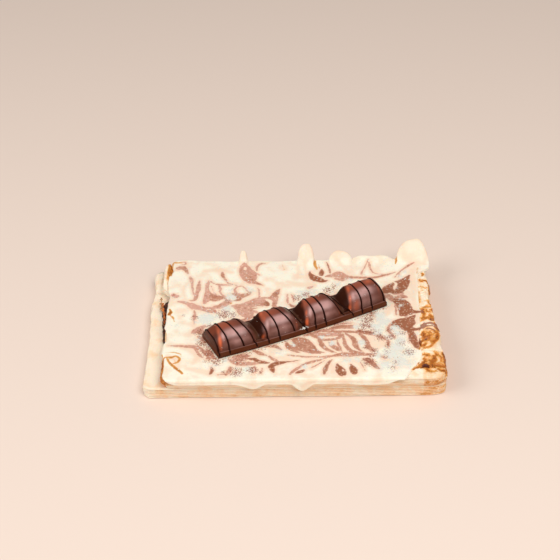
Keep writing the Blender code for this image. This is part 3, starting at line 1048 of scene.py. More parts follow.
@dataclass
class UpperFold(Layer):
    """The fold on top, which shows as a crinkled, browned border at the right end."""

    name: str = "upper_fold"
    plan: Plan = field(default_factory=lambda: Plan(-77.0, 85.4, -58.8, 49.2))
    top: float = 15.4
    sheets: int = 4
    stack_foot: float = 11.0
    filling_level: float = 10.6
    fold_level: float = 8.4
    corner_reach: float = 6.6
    scorched_dip: float = 0.45
    border_start: float = 75.8
    border_back: float = 33.0
    rise: float = 2.4
    knot: tuple[float, float] = (83.4, -26.0)
    knot_half: tuple[float, float] = (7.0, 10.4)
    ends: EndShape = field(default_factory=EndShape)
    # folds of the border and of the rolled knot; the tone is their height
    ridges: tuple[Stroke, ...] = strokes(
        # the knot's thick outer roll, from its front left round the back to the right
        (1.5, (76.6, -21.6, 3), (79.6, -19, 3.8), (83.6, -17.6, 4.2), (87.4, -19, 4.4), (89, -23.4, 4),
         (88.4, -28.4, 3.6), (86, -33, 3.4), (82.6, -35.6, 3), (79.6, -36, 2.4)),
        (0.8, (79.6, -22.2, 1.4), (83, -20.8, 1.8), (86, -22.2, 1.6)),
        # folds gathered inside it, running up from its front left
        (1, (77.8, -33.6, 1.8), (79.2, -30.6, 2.4), (81.4, -28.4, 2.6), (84.6, -27.2, 2)),
        (1, (78.8, -35, 1.6), (81.6, -33, 2.6), (84, -30.4, 2.8), (86, -27.4, 2)),
        (0.9, (77.6, -29.8, 1.8), (79.6, -27, 2), (82.4, -25, 2.4), (85.2, -24.4, 2)),
        (0.7, (77.6, -25.4, 2.2), (80.2, -23.6, 2.2), (83, -22.8, 2)),
        # gathers behind the knot
        (1.1, (78.6, -9.4, 1.6), (82, -8.4, 2), (86.6, -8.6, 1.8)),
        (0.9, (80.6, -13.2, 1.6), (84, -12.4, 1.8), (88.2, -13.2, 1.4)),
        (1, (81.2, -4.6, 1.4), (83.6, -3.4, 2.2), (86.6, -3.8, 1.8)),
        (0.9, (80, 0.2, 1.6), (83.4, 0.8, 2), (86, 0.4, 1.6)),
        (0.7, (81.4, 5.4, 1.4), (83.6, 5.6, 1.8), (85.4, 5.2, 1.6)),
        (1, (82, 14, 1.6), (84, 18, 2.6), (84.2, 22.4, 2.6), (82.4, 25.6, 2), (80, 26.6, 1.4)),
        (0.6, (80, 31.6, 1.4), (82, 33.2, 1.8)),
        # pleats in front of the knot
        (0.7, (78.2, -38.6, 2), (83, -38.8, 2.6), (89.4, -38.8, 2.2)),
        (0.9, (79.4, -44, 1.8), (82.6, -43.6, 2.4), (86, -43.2, 2.2), (90.4, -43.6, 1.6)),
        (1, (80.6, -49.6, 1.2), (81.4, -47.8, 1.6), (82, -45.8, 1)),
        (1, (82.6, -52.6, 1.4), (84, -50.4, 1.6), (84.6, -47.4, 1)),
        (0.8, (86, -49, 1.6), (88.4, -48.4, 2), (91, -48.8, 1.2)),
        (0.8, (72.6, -55, 1.6), (76.4, -53.4, 2.4), (79.6, -54.6, 2)),
    )
    # browned lines, laid as they are seen from the front; the tone is their strength
    scorched: tuple[Stroke, ...] = strokes(
        (0.55, (78.7, 43.6, 0.8), (78.6, 40.5, 1.5), (78.2, 37.6, 1.2)),
        (0.6, (81, 38.8, 0.7), (81.9, 37.2, 1.5), (81.4, 35, 0.9)),
        (0.55, (79.4, 30.2, 0.7), (80.6, 28.2, 1.5), (81.6, 27.6, 0.7)),
        (1, (81.6, 29.4, 0.6), (83.6, 28.6, 1.5), (85, 26.6, 1.3), (85.6, 23.6, 1.4), (85.4, 20, 1.4),
         (84.8, 18.2, 0.8)),
        (0.5, (77.8, 23.2, 0.4), (80.6, 23, 1.1), (82.2, 21.8, 0.7), (83.8, 21.6, 0.5)),
        (0.3, (80, 21.8, 1.4), (80.8, 19.6, 1.2)),
        (0.3, (78.6, 18, 1.2), (78.4, 13, 1.7), (78.6, 8, 1.2)),
        (0.4, (81.8, 9.2, 0.7), (84.2, 9.6, 0.8)),
        (0.65, (83.8, 8.8, 1), (84.6, 6.8, 1.7), (85.2, 5, 1.7), (86, 4.6, 1)),
        (0.55, (81, 2.4, 1), (83, 3.4, 2.2), (85.2, 3.2, 1.8), (86.4, 3.2, 1)),
        (0.5, (78.2, 1.7, 0.6), (79.6, 1.2, 1.2)),
        (0.75, (84.8, 0.2, 1), (86.2, 0, 1.4), (86.8, -1, 1)),
        (0.7, (80.4, 0.6, 1), (80.2, -2.2, 1.8), (80.9, -4, 1.5), (80.2, -6.4, 1.3), (78.8, -7, 0.8)),
        (0.45, (82.2, 0.6, 1), (82.6, -1.6, 0.9), (84.4, -1.6, 1.1)),
        (0.75, (80, -8.4, 2.4), (82.6, -7.6, 2.8), (85, -8, 2.8), (87, -8.6, 1.6)),
        (0.7, (84.2, -5, 1.2), (85.6, -6.4, 2), (86, -8.2, 2.4)),
        (1.15, (83.6, -8.6, 0.8), (85.4, -8.9, 1.9), (87.4, -8.8, 1)),
        (0.4, (78.6, -10.4, 0.6), (79.8, -9.4, 0.8)),
        # round the knot
        (1.15, (86.8, -12.2, 0.9), (88.6, -13.4, 1.5), (89.7, -15.6, 1.5), (90, -18.4, 1)),
        (0.9, (87.4, -16.6, 1.8), (88.6, -19, 2.4), (89.6, -20.4, 1.1)),
        (0.65, (86.4, -20.2, 1.4), (87.9, -22.4, 1.8), (87.8, -25, 1.8), (87, -27.6, 1.7),
         (85.4, -29.6, 1.4), (84.3, -31.8, 1.4), (82.8, -34, 1.5), (80.8, -35, 1.5),
         (79.2, -35.2, 0.9)),
        (0.72, (79, -21.2, 0.9), (79.4, -22.4, 1.8), (78.6, -23.6, 1.6), (80, -24.6, 1.1),
         (81.6, -24.8, 0.8)),
        (0.4, (81.6, -21.2, 0.8), (83.4, -22.2, 1.6), (83, -24.2, 1.5), (82.2, -26.4, 1.2),
         (82, -27.8, 0.7)),
        (0.5, (83, -20.4, 0.6), (84.4, -22.8, 0.8), (86.2, -21.6, 0.6)),
        (0.55, (77.8, -26.8, 0.6), (79.8, -26, 0.8), (81.6, -25.6, 0.9)),
        (1, (76.2, -33.6, 1.1), (77, -31.4, 1.7), (77.6, -29.8, 1.1), (79.2, -28.4, 0.9),
         (80.8, -27, 0.9)),
        (0.85, (76.6, -32.4, 2.2), (78.4, -33.2, 1.7), (79.8, -32.4, 1.3), (80.8, -31.6, 0.7)),
        (0.4, (76.8, -35.8, 1.3), (78.6, -36.6, 0.9)),
        (0.35, (82.4, -28.2, 0.9), (84.2, -29.2, 1.3), (84, -31.4, 0.9)),
        # a lump of filling on the left side
        (2.2, (-82.2, 20.8, 1.2), (-81.2, 19.8, 2), (-80.6, 17.8, 1.2)),
        # the front part
        (0.45, (78, -40.4, 1.5), (80.4, -40.8, 1.5), (82, -41.6, 1.4), (80.4, -42.6, 0.8)),
        (0.5, (85.2, -38.6, 0.9), (86.8, -40.4, 1.8), (86, -42, 1.3)),
        (0.8, (90.8, -38.6, 1.3), (91.3, -42, 1.8), (91.4, -46, 1.6), (91.8, -50, 1.4)),
        (0.45, (88.4, -41.4, 0.8), (89.4, -43.8, 1.5), (89, -46, 1.2)),
        (0.7, (84.8, -42.4, 1.2), (85.4, -44.6, 2.2), (84.6, -46.6, 2.4), (83.8, -49, 1.6)),
        (0.7, (82.2, -46.4, 0.8), (83.6, -47.2, 1.3), (83, -49.6, 0.9)),
        (0.55, (78.6, -44.2, 0.8), (79.8, -45.6, 1.3), (79.6, -47, 1.3)),
        (0.9, (72.6, -53.2, 1.5), (75.4, -51.4, 2.2), (77, -49.6, 2), (78.6, -47.6, 1.5),
         (79.6, -46.6, 0.9)),
        (1.35, (76.8, -52.4, 1), (78.6, -50.8, 2.4), (80.2, -51.2, 2.2), (81.4, -52.6, 1)),
        (1.1, (83.2, -50, 0.8), (83.4, -52.4, 0.9)),
        (0.7, (85, -49.4, 1.3), (84.6, -52.4, 1.3)),
        (0.65, (86.2, -50.2, 2.2), (89, -50.6, 2.2), (91.4, -50.8, 2)),
        (0.5, (80, -54, 1.2), (82.6, -55.8, 1.6), (86, -55.4, 1.2)),
        (0.6, (87, -53.4, 1.2), (89.6, -54.6, 1.8), (91.4, -54, 1.4)),
    )
    # milk chocolate that ran from the coat onto the border
    poured: tuple[Stroke, ...] = strokes(
        (0.5, (74.6, -17.8, 2.2), (76.8, -16.6, 3.6), (79, -15.2, 3.4), (80.6, -13.4, 2.4),
         (82.4, -12.5, 1.9), (84.8, -12.3, 2), (87, -13.3, 2.2), (88.8, -15.2, 2.1),
         (89.6, -17.8, 1.2)),
        (0.5, (79.2, -16.9, 2), (80.6, -15.6, 1.4), (83, -15, 1), (85.6, -15.3, 1), (87.2, -16.6, 1.5),
         (88.4, -18.6, 1.3)),
        (0.5, (80.8, -18, 0.7), (82.6, -17.4, 1.1), (84.6, -18.2, 1), (86.4, -19.6, 0.9)),
        (0.5, (76, -0.8, 3), (78.6, -1, 2), (80.6, -2.2, 1)),
        (0.5, (75.6, -24, 1.2), (76.4, -28, 1.8), (76.8, -32, 1.2)),
    )

    def __post_init__(self) -> None:
        """Lays out the grid, fine at the border and at the bare corner."""
        self.columns = [
            *spread(self.plan.left, -74.0, 0.4),
            *spread(-70.0, 62.0, 22.0),
            *spread(70.0, 77.0, 0.8),
            *spread(77.4, self.plan.right, 0.28),
        ]
        self.rows = spread(self.plan.front, self.plan.back, 0.42)

    def shift(self, place: Vector) -> Vector:
        """Moves a place with both ends and with the bare corner at the back left.

        Args:
            place: a place of the plan.

        Returns:
            The moved place.
        """
        corner = 1.0 - smooth_step(self.plan.left, -66.0, place.x)
        corner *= smooth_step(20.0, 30.0, place.y)
        return self.ends.slanted(place) - Vector((corner * self.corner_reach, 0.0))

    def from_knot(self, x: float, y: float) -> float:
        """How far a place is from the knot's middle, as a share of the knot's half size."""
        return math.hypot((x - self.knot[0]) / self.knot_half[0], (y - self.knot[1]) / self.knot_half[1])

    def border_height(self, x: float, y: float) -> float:
        """Height of the gathered border above the fold's top.

        Args:
            x: place along the crepe.
            y: place across it.

        Returns:
            The height, 0 away from the border.
        """
        start = self.border_start - 9.0 * smooth_step(43.0, 54.0, -y)
        on = smooth_step(start, start + 1.2, x)
        on *= 1.0 - smooth_step(self.border_back - 3.0, self.border_back + 5.0, y) * 0.6
        if on <= 0.0:
            return 0.0
        folds = 0.5 * crest(x + 0.4 * y, y, 4.2, 8.7) + 0.35 * crest(x, y + 3.0, 2.0, 1.7)
        slope = 0.2 * max(0.0, x - 84.0)
        dome = 2.6 * (1.0 - min(1.0, self.from_knot(x, y)) ** 2.6) ** 0.7
        inner = 0.6 * smooth_step(77.0, 81.0, x)
        return on * (max(0.2, self.rise - 0.9 + inner - slope + folds) + dome)

    def skin(self, place: Vector) -> Vector:
        """The top: flat under the coat, crinkled where it shows.

        Args:
            place: a place of the plan.

        Returns:
            The point above the place.
        """
        bare = (1.0 - smooth_step(-81.0, -79.9, place.x)) * smooth_step(26.0, 36.0, place.y)
        curl = 1.7 * bare + bare * 0.4 * crest(place.x, place.y, 3.0, 6.0)
        return Vector((*place, self.top + curl + self.border_height(*place)))

    def under(self, inset: float, on_filling: bool, place: Vector, outward: Vector) -> Sequence[float]:
        """A point of the underside, which lies on the filling or on the lower fold.

        Args:
            inset: how far in from the rim it is.
            on_filling: whether it lies on the filling at the long sides too.
            place: the place of the rim that the point comes from.
            outward: the direction out of the plan there.

        Returns:
            The point.
        """
        side = 0.0 if on_filling else outward.y**2
        height = self.fold_level * side + self.filling_level * (1.0 - side)
        return (*(place - inset * outward), height)

    def rings(self) -> list[Ring]:
        """Thin sheets, then the underside.

        Returns:
            The rings, from the top down and under.
        """
        stack = sheet_rings(self.top - 0.3, self.stack_foot, self.sheets, 23.0)
        loops = ((0.6, False), (4.6, False), (6.2, True))
        return [*stack, *(partial(self.under, *loop) for loop in loops)]

    def browning(self, x: float, y: float, z: float) -> float:
        """How browned the bare corner and the sides are, with painted shade in the creases between the
        sheets.

        Args:
            x: place along the crepe.
            y: place across it.
            z: height above the table.

        Returns:
            About 0 where it is pale, 0.5 where golden and 1 where brown.
        """
        if x < -74.0:
            bare = smooth_step(30.0, 36.0, y)
            inner = smooth_step(-82.8, -81.4, x) * smooth_step(30.0, 38.0, y)
            low = 1.0 - smooth_step(-44.0, -36.0, y)
            side = 0.3 * (1.0 - smooth_step(10.0, 20.0, y)) - 0.05 + 0.5 * low
            return side * (1.0 - bare) + bare * (inner * 0.66 - 0.05)
        if x < 68.0:
            # painted shade in the creases between the sheets
            return 0.1 + 0.26 * crease(z, self.top - 0.3, self.stack_foot, self.sheets)
        golden = 0.3 * (1.0 - smooth_step(0.55, 1.05, self.from_knot(x, y)))
        golden += 0.18 * math.exp(-(((y - 1.0) / 9.0) ** 2)) + 0.3 * (1.0 - smooth_step(-43.0, -33.0, y))
        golden *= smooth_step(76.5, 79.5, x)
        return golden + 0.2 * (1.0 - smooth_step(self.top - 4.0, self.top + 0.5, z))

    def finish(self) -> bpy.types.Object:
        """Builds the fold, raises its creases and lays its browning on it.

        Returns:
            The piece.
        """
        made = self.build()
        points = points_of(made)
        on_top = smooth_array(self.top - 0.6, self.top + 0.6, points[:, 2])
        edge = smooth_array(self.border_start - 8.0, self.border_start, points[:, 0]) * on_top
        points[:, 2] += Drawing(points[:, :2], self.ridges).raised * edge
        seen = along_view(points, COAT_TOP)
        lines = Drawing(seen, self.scorched)
        points[:, 2] -= self.scorched_dip * np.clip(lines.raised, 0.0, 1.0) * edge
        made.data.vertices.foreach_set("co", (points * MM).ravel())
        brown = np.array([self.browning(*point) for point in points])
        faded = 0.2 + 0.8 * smooth_array(self.top - 2.6, self.top - 0.4, points[:, 2])
        lay(made, "brown", brown + lines.glow * faded)
        lay(made, "milk", np.clip(Drawing(seen, self.poured).inside + 0.45, 0.0, 1.0))
        return made


# ------------------------------------------------------------------ the filling


@dataclass
class Filling(Layer):
    """The dark spread between the folds, squeezed out in lumps at the left end."""

    name: str = "nutty_layer"
    plan: Plan = field(default_factory=lambda: Plan(-80.5, 80.0, -50.0, 41.0))
    bottom: float = 8.3
    top: float = 10.3
    # places across, and how far the filling keeps back or squeezes out there
    left_edge: tuple = (
        (-58, 3.6), (-24, 3.4), (-20, 2), (-15, 1), (-8, 0.3), (-2, -0.2), (4, -1), (10, -2.2),
        (15, -2.4), (19, -1.2), (22.5, 1.2), (26, 3.2), (50, 3.6),
    )

    def __post_init__(self) -> None:
        """Lays out the grid, fine at the left end."""
        left = spread(self.plan.left, -72.0, 0.5)
        self.columns = [*left, *spread(-60.0, 72.0, 33.0), *spread(76.0, self.plan.right, 1.0)]
        self.rows = spread(self.plan.front, self.plan.back, 0.7)

    def shift(self, place: Vector) -> Vector:
        """Squeezes the left end out.

        Args:
            place: a place of the plan.

        Returns:
            The moved place.
        """
        end = 1.0 - smooth_step(-80.0, -72.0, place.x)
        uneven = 0.7 * ripple(place.x, place.y, 4.0, 6.6) + 0.5 * ripple(place.x, place.y, 1.8, 2.6)
        return Vector((place.x + end * (wave(self.left_edge, place.y) + uneven), place.y))

    def skin(self, place: Vector) -> Vector:
        """The top, lumpy where nothing lies on it.

        Args:
            place: a place of the plan.

        Returns:
            The point above the place.
        """
        out = 1.0 - smooth_step(-81.5, -78.5, place.x)
        lumps = out * (0.5 * ripple(place.x, place.y, 2.2, 3.3) - 0.1)
        return Vector((*place, self.top + lumps))

    def rings(self) -> list[Ring]:
        """A round edge, then the underside."""
        middle = (self.top + self.bottom) / 2
        return [
            flat_ring(0.45, self.top - 0.35),
            flat_ring(0.7, middle),
            flat_ring(0.45, self.bottom + 0.3),
            flat_ring(0.0, self.bottom),
            flat_ring(-5.0, self.bottom),
        ]


# ------------------------------------------------------------------ the poured coat


@dataclass
class PouredCoat(Layer):
    """White chocolate poured over the top and smeared into lobes along the back edge."""

    name: str = "marbled_coat"
    plan: Plan = field(default_factory=lambda: Plan(-78.2, 77.2, -60.3, 51.6))
    cell: float = 0.5
    top: float = COAT_TOP
    rest: float = 15.4
    lip_rise: float = 0.45
    # middle, width and length of each lobe
    lobes: tuple = (
        (-33.2, 5.5, 8.5), (7.2, 11, 12), (29.5, 15, 6.5), (50, 26, 3), (76.4, 22, 14.4),
    )
    lean: float = math.radians(52)
    root: float = 7.0
    thickness: float = 2.0
    step: float = 8.8
    drip: float = 8.0
    short_drip: float = 2.6
    ends: EndShape = field(default_factory=EndShape)
    # places across, and how far the coat keeps back or reaches out there
    left_edge: tuple = (
        (-58, 3.6), (-42, 3.5), (-37.5, 1.4), (-30, 1.7), (-24, 3.2), (-18.5, 2.9), (-15.5, 2),
        (-12.5, 0.9), (-8, 1.4), (3, 0.9), (11, 1.2), (17, 1.6), (27, -0.7), (34, -1.7), (41.6, 1.4),
        (46, 0.2), (51, -1),
    )
    right_edge: tuple = (
        (-60, -8), (-54, -6.5), (-52, -5), (-50, -3.2), (-48, -1.6), (-44, 0), (-40, 0.6), (-36, 0),
        (-30, -0.7), (-20, -0.5), (-15, 0.6), (-8, 0.4), (-2, 1.6), (4, 0.4), (12, 0.6), (22, 0.9),
        (30, 0.6), (36, 1.2),
    )

    def __post_init__(self) -> None:
        """Lays out an even, fine grid."""
        self.columns = spread(self.plan.left, self.plan.right, self.cell)
        self.rows = spread(self.plan.front, self.plan.back, self.cell)

    def shift(self, place: Vector) -> Vector:
        """Widens the coat beside the last lobe and slants its back at the left.

        Args:
            place: a place of the plan.

        Returns:
            The moved place.
        """
        end = smooth_step(60.0, self.plan.right, place.x)
        step = (self.step - 1.4) * smooth_step(36.0, 43.5, place.y) + wave(self.right_edge, place.y)
        start = 1.0 - smooth_step(self.plan.left, -66.0, place.x)
        uneven = 0.25 * ripple(place.x, place.y, 5.0, 9.9) + 0.2 * ripple(place.x, place.y, 2.2, 1.9)
        along = end * (step + uneven) + start * (wave(self.left_edge, place.y) + uneven)
        edge = smooth_step(42.0, self.plan.back, place.y) * (0.5 * ripple(place.x, 0.0, 9.0, 4.4) - 0.4)
        return Vector((place.x + along, place.y + self.ends.slant(place) + edge))

    def lobe_length(self, x: float) -> float:
        """Length of the lobe behind a place.

        Args:
            x: the place along the crepe.

        Returns:
            The length, 0 between lobes.
        """
        length = 0.0
        for centre, width, longest in self.lobes:
            share = abs(x - centre) / (width / 2)
            if share < 1.0:
                length = max(length, longest * (1.0 - share**2.6) ** 0.62)
        return length

    def lift(self, place: Vector, share: float = 1.0) -> Vector:
        """The point of the even top above a place.

        Args:
            place: a place of the plan.
            share: how much of a lobe's sweep it takes part in.

        Returns:
            The point.
        """
        height = self.top - 0.25 + 0.4 * min(0.5, ripple(place.x, place.y, 26.0, 1.4))
        sweep = min(1.0, max(0.0, 1.0 - (self.plan.back - place.y) / self.root)) * share
        length = self.lobe_length(place.x)
        back = length * math.cos(self.lean) * sweep**2
        up = length * math.sin(self.lean) * sweep**2.2
        return Vector((place.x, place.y + back, height + up))

    def skin(self, place: Vector) -> Vector:
        """The top with its smears, which run towards the lobes behind.

        Args:
            place: a place of the plan.

        Returns:
            The point above the place.
        """
        point = self.lift(place)
        behind = smooth_step(30.0, 46.0, place.y)
        smear = 0.16 * ripple(place.x * 1.6, place.y * 0.5, 6.0, 4.8) * behind
        dent = 0.12 * ripple(place.x, place.y, 5.0, 7.4) + 0.05 * ripple(place.x, place.y, 1.9, 3.4)
        point.z += min(smear, 0.25) + min(dent, 0.04)
        return point

    def hang(self, place: Vector, outward: Vector) -> float:
        """How far the lip hangs below the crepe's top.

        Args:
            place: the place of the rim.
            outward: the direction out of the plan there.

        Returns:
            The length of the drip.
        """
        beside = smooth_step(-74.0, -64.0, place.x) * (1.0 - smooth_step(56.0, 65.0, place.x))
        runs = max(0.0, math.sin(place.x / 6.3 + 1.1 * math.sin(place.x / 17.0)))
        longest = self.drip - self.short_drip
        front = self.short_drip + longest * runs**1.6 * (0.6 + 0.4 * math.cos(place.x / 15.0))
        return beside * (front * max(0.0, -outward.y) + 3.4 * max(0.0, outward.y))

    def side(self, share: float, place: Vector, outward: Vector) -> Sequence[float]:
        """A point of the side.

        Args:
            share: 0 at the top of the side, 1 at its lip.
            place: the place of the rim that the point comes from.
            outward: the direction out of the plan there.

        Returns:
            The point.
        """
        point = self.lift(place, 1.0 - share)
        resting = max(0.0, outward.x) ** 2
        lip = self.rest + self.lip_rise - self.hang(place, outward)
        lobe = min(1.0, self.lobe_length(place.x) / 6.0) * max(0.0, outward.y)
        bulge = math.sin(math.pi * min(1.0, share * 1.4 + 0.15)) * 0.35 + 0.95 + 0.45 * share
        reach = bulge * (1.0 - 0.7 * resting) * outward
        behind = self.thickness * lobe * share
        drop = 0.75 + 0.35 * resting
        height = (point.z - drop) * (1.0 - share) + (lip + 0.85 * (1.0 - 0.55 * resting)) * share
        return (point.x + reach.x, point.y + reach.y + behind, height)

    def edge(self, turn: float, place: Vector, outward: Vector) -> Sequence[float]:
        """A point of the rounded upper edge.

        Args:
            turn: 0 on the top, 1 on the side.
            place: the place of the rim that the point comes from.
            outward: the direction out of the plan there.

        Returns:
            The point.
        """
        angle = turn * math.pi / 2
        point = self.skin(place)
        resting = max(0.0, outward.x) ** 2
        reach = math.sin(angle) * 1.05 * (1.0 - 0.7 * resting)
        drop = (1.0 - math.cos(angle)) * 0.7
        return (point.x + outward.x * reach, point.y + outward.y * reach, point.z - drop)

    def lip(self, outset: float, rise: float, place: Vector, outward: Vector) -> Sequence[float]:
        """A point near the lower lip.

        Args:
            outset: how far it stands out of the plan.
            rise: how far above the lip it is.
            place: the place of the rim that the point comes from.
            outward: the direction out of the plan there.

        Returns:
            The point.
        """
        reach = outset * (1.0 - 0.7 * max(0.0, outward.x) ** 2)
        height = self.rest + self.lip_rise - self.hang(place, outward) + rise
        return (*(place + reach * outward), height)

    def rings(self) -> list[Ring]:
        """The round edge, the side with its drips, the lip and the underside.

        Returns:
            The rings, from the top down and under.
        """
        edge = [partial(self.edge, turn) for turn in (0.3, 0.6, 0.85)]
        side = [partial(self.side, share) for share in (0.0, 0.18, 0.36, 0.54, 0.7, 0.86, 1.0)]
        lip = [partial(self.lip, *loop) for loop in ((1.35, 0.35), (0.95, 0.05), (0.3, 0.0), (-0.2, 0.12))]
        underside = self.rest + 0.3
        return [*edge, *side, *lip, flat_ring(-0.5, underside), flat_ring(-6.0, underside)]


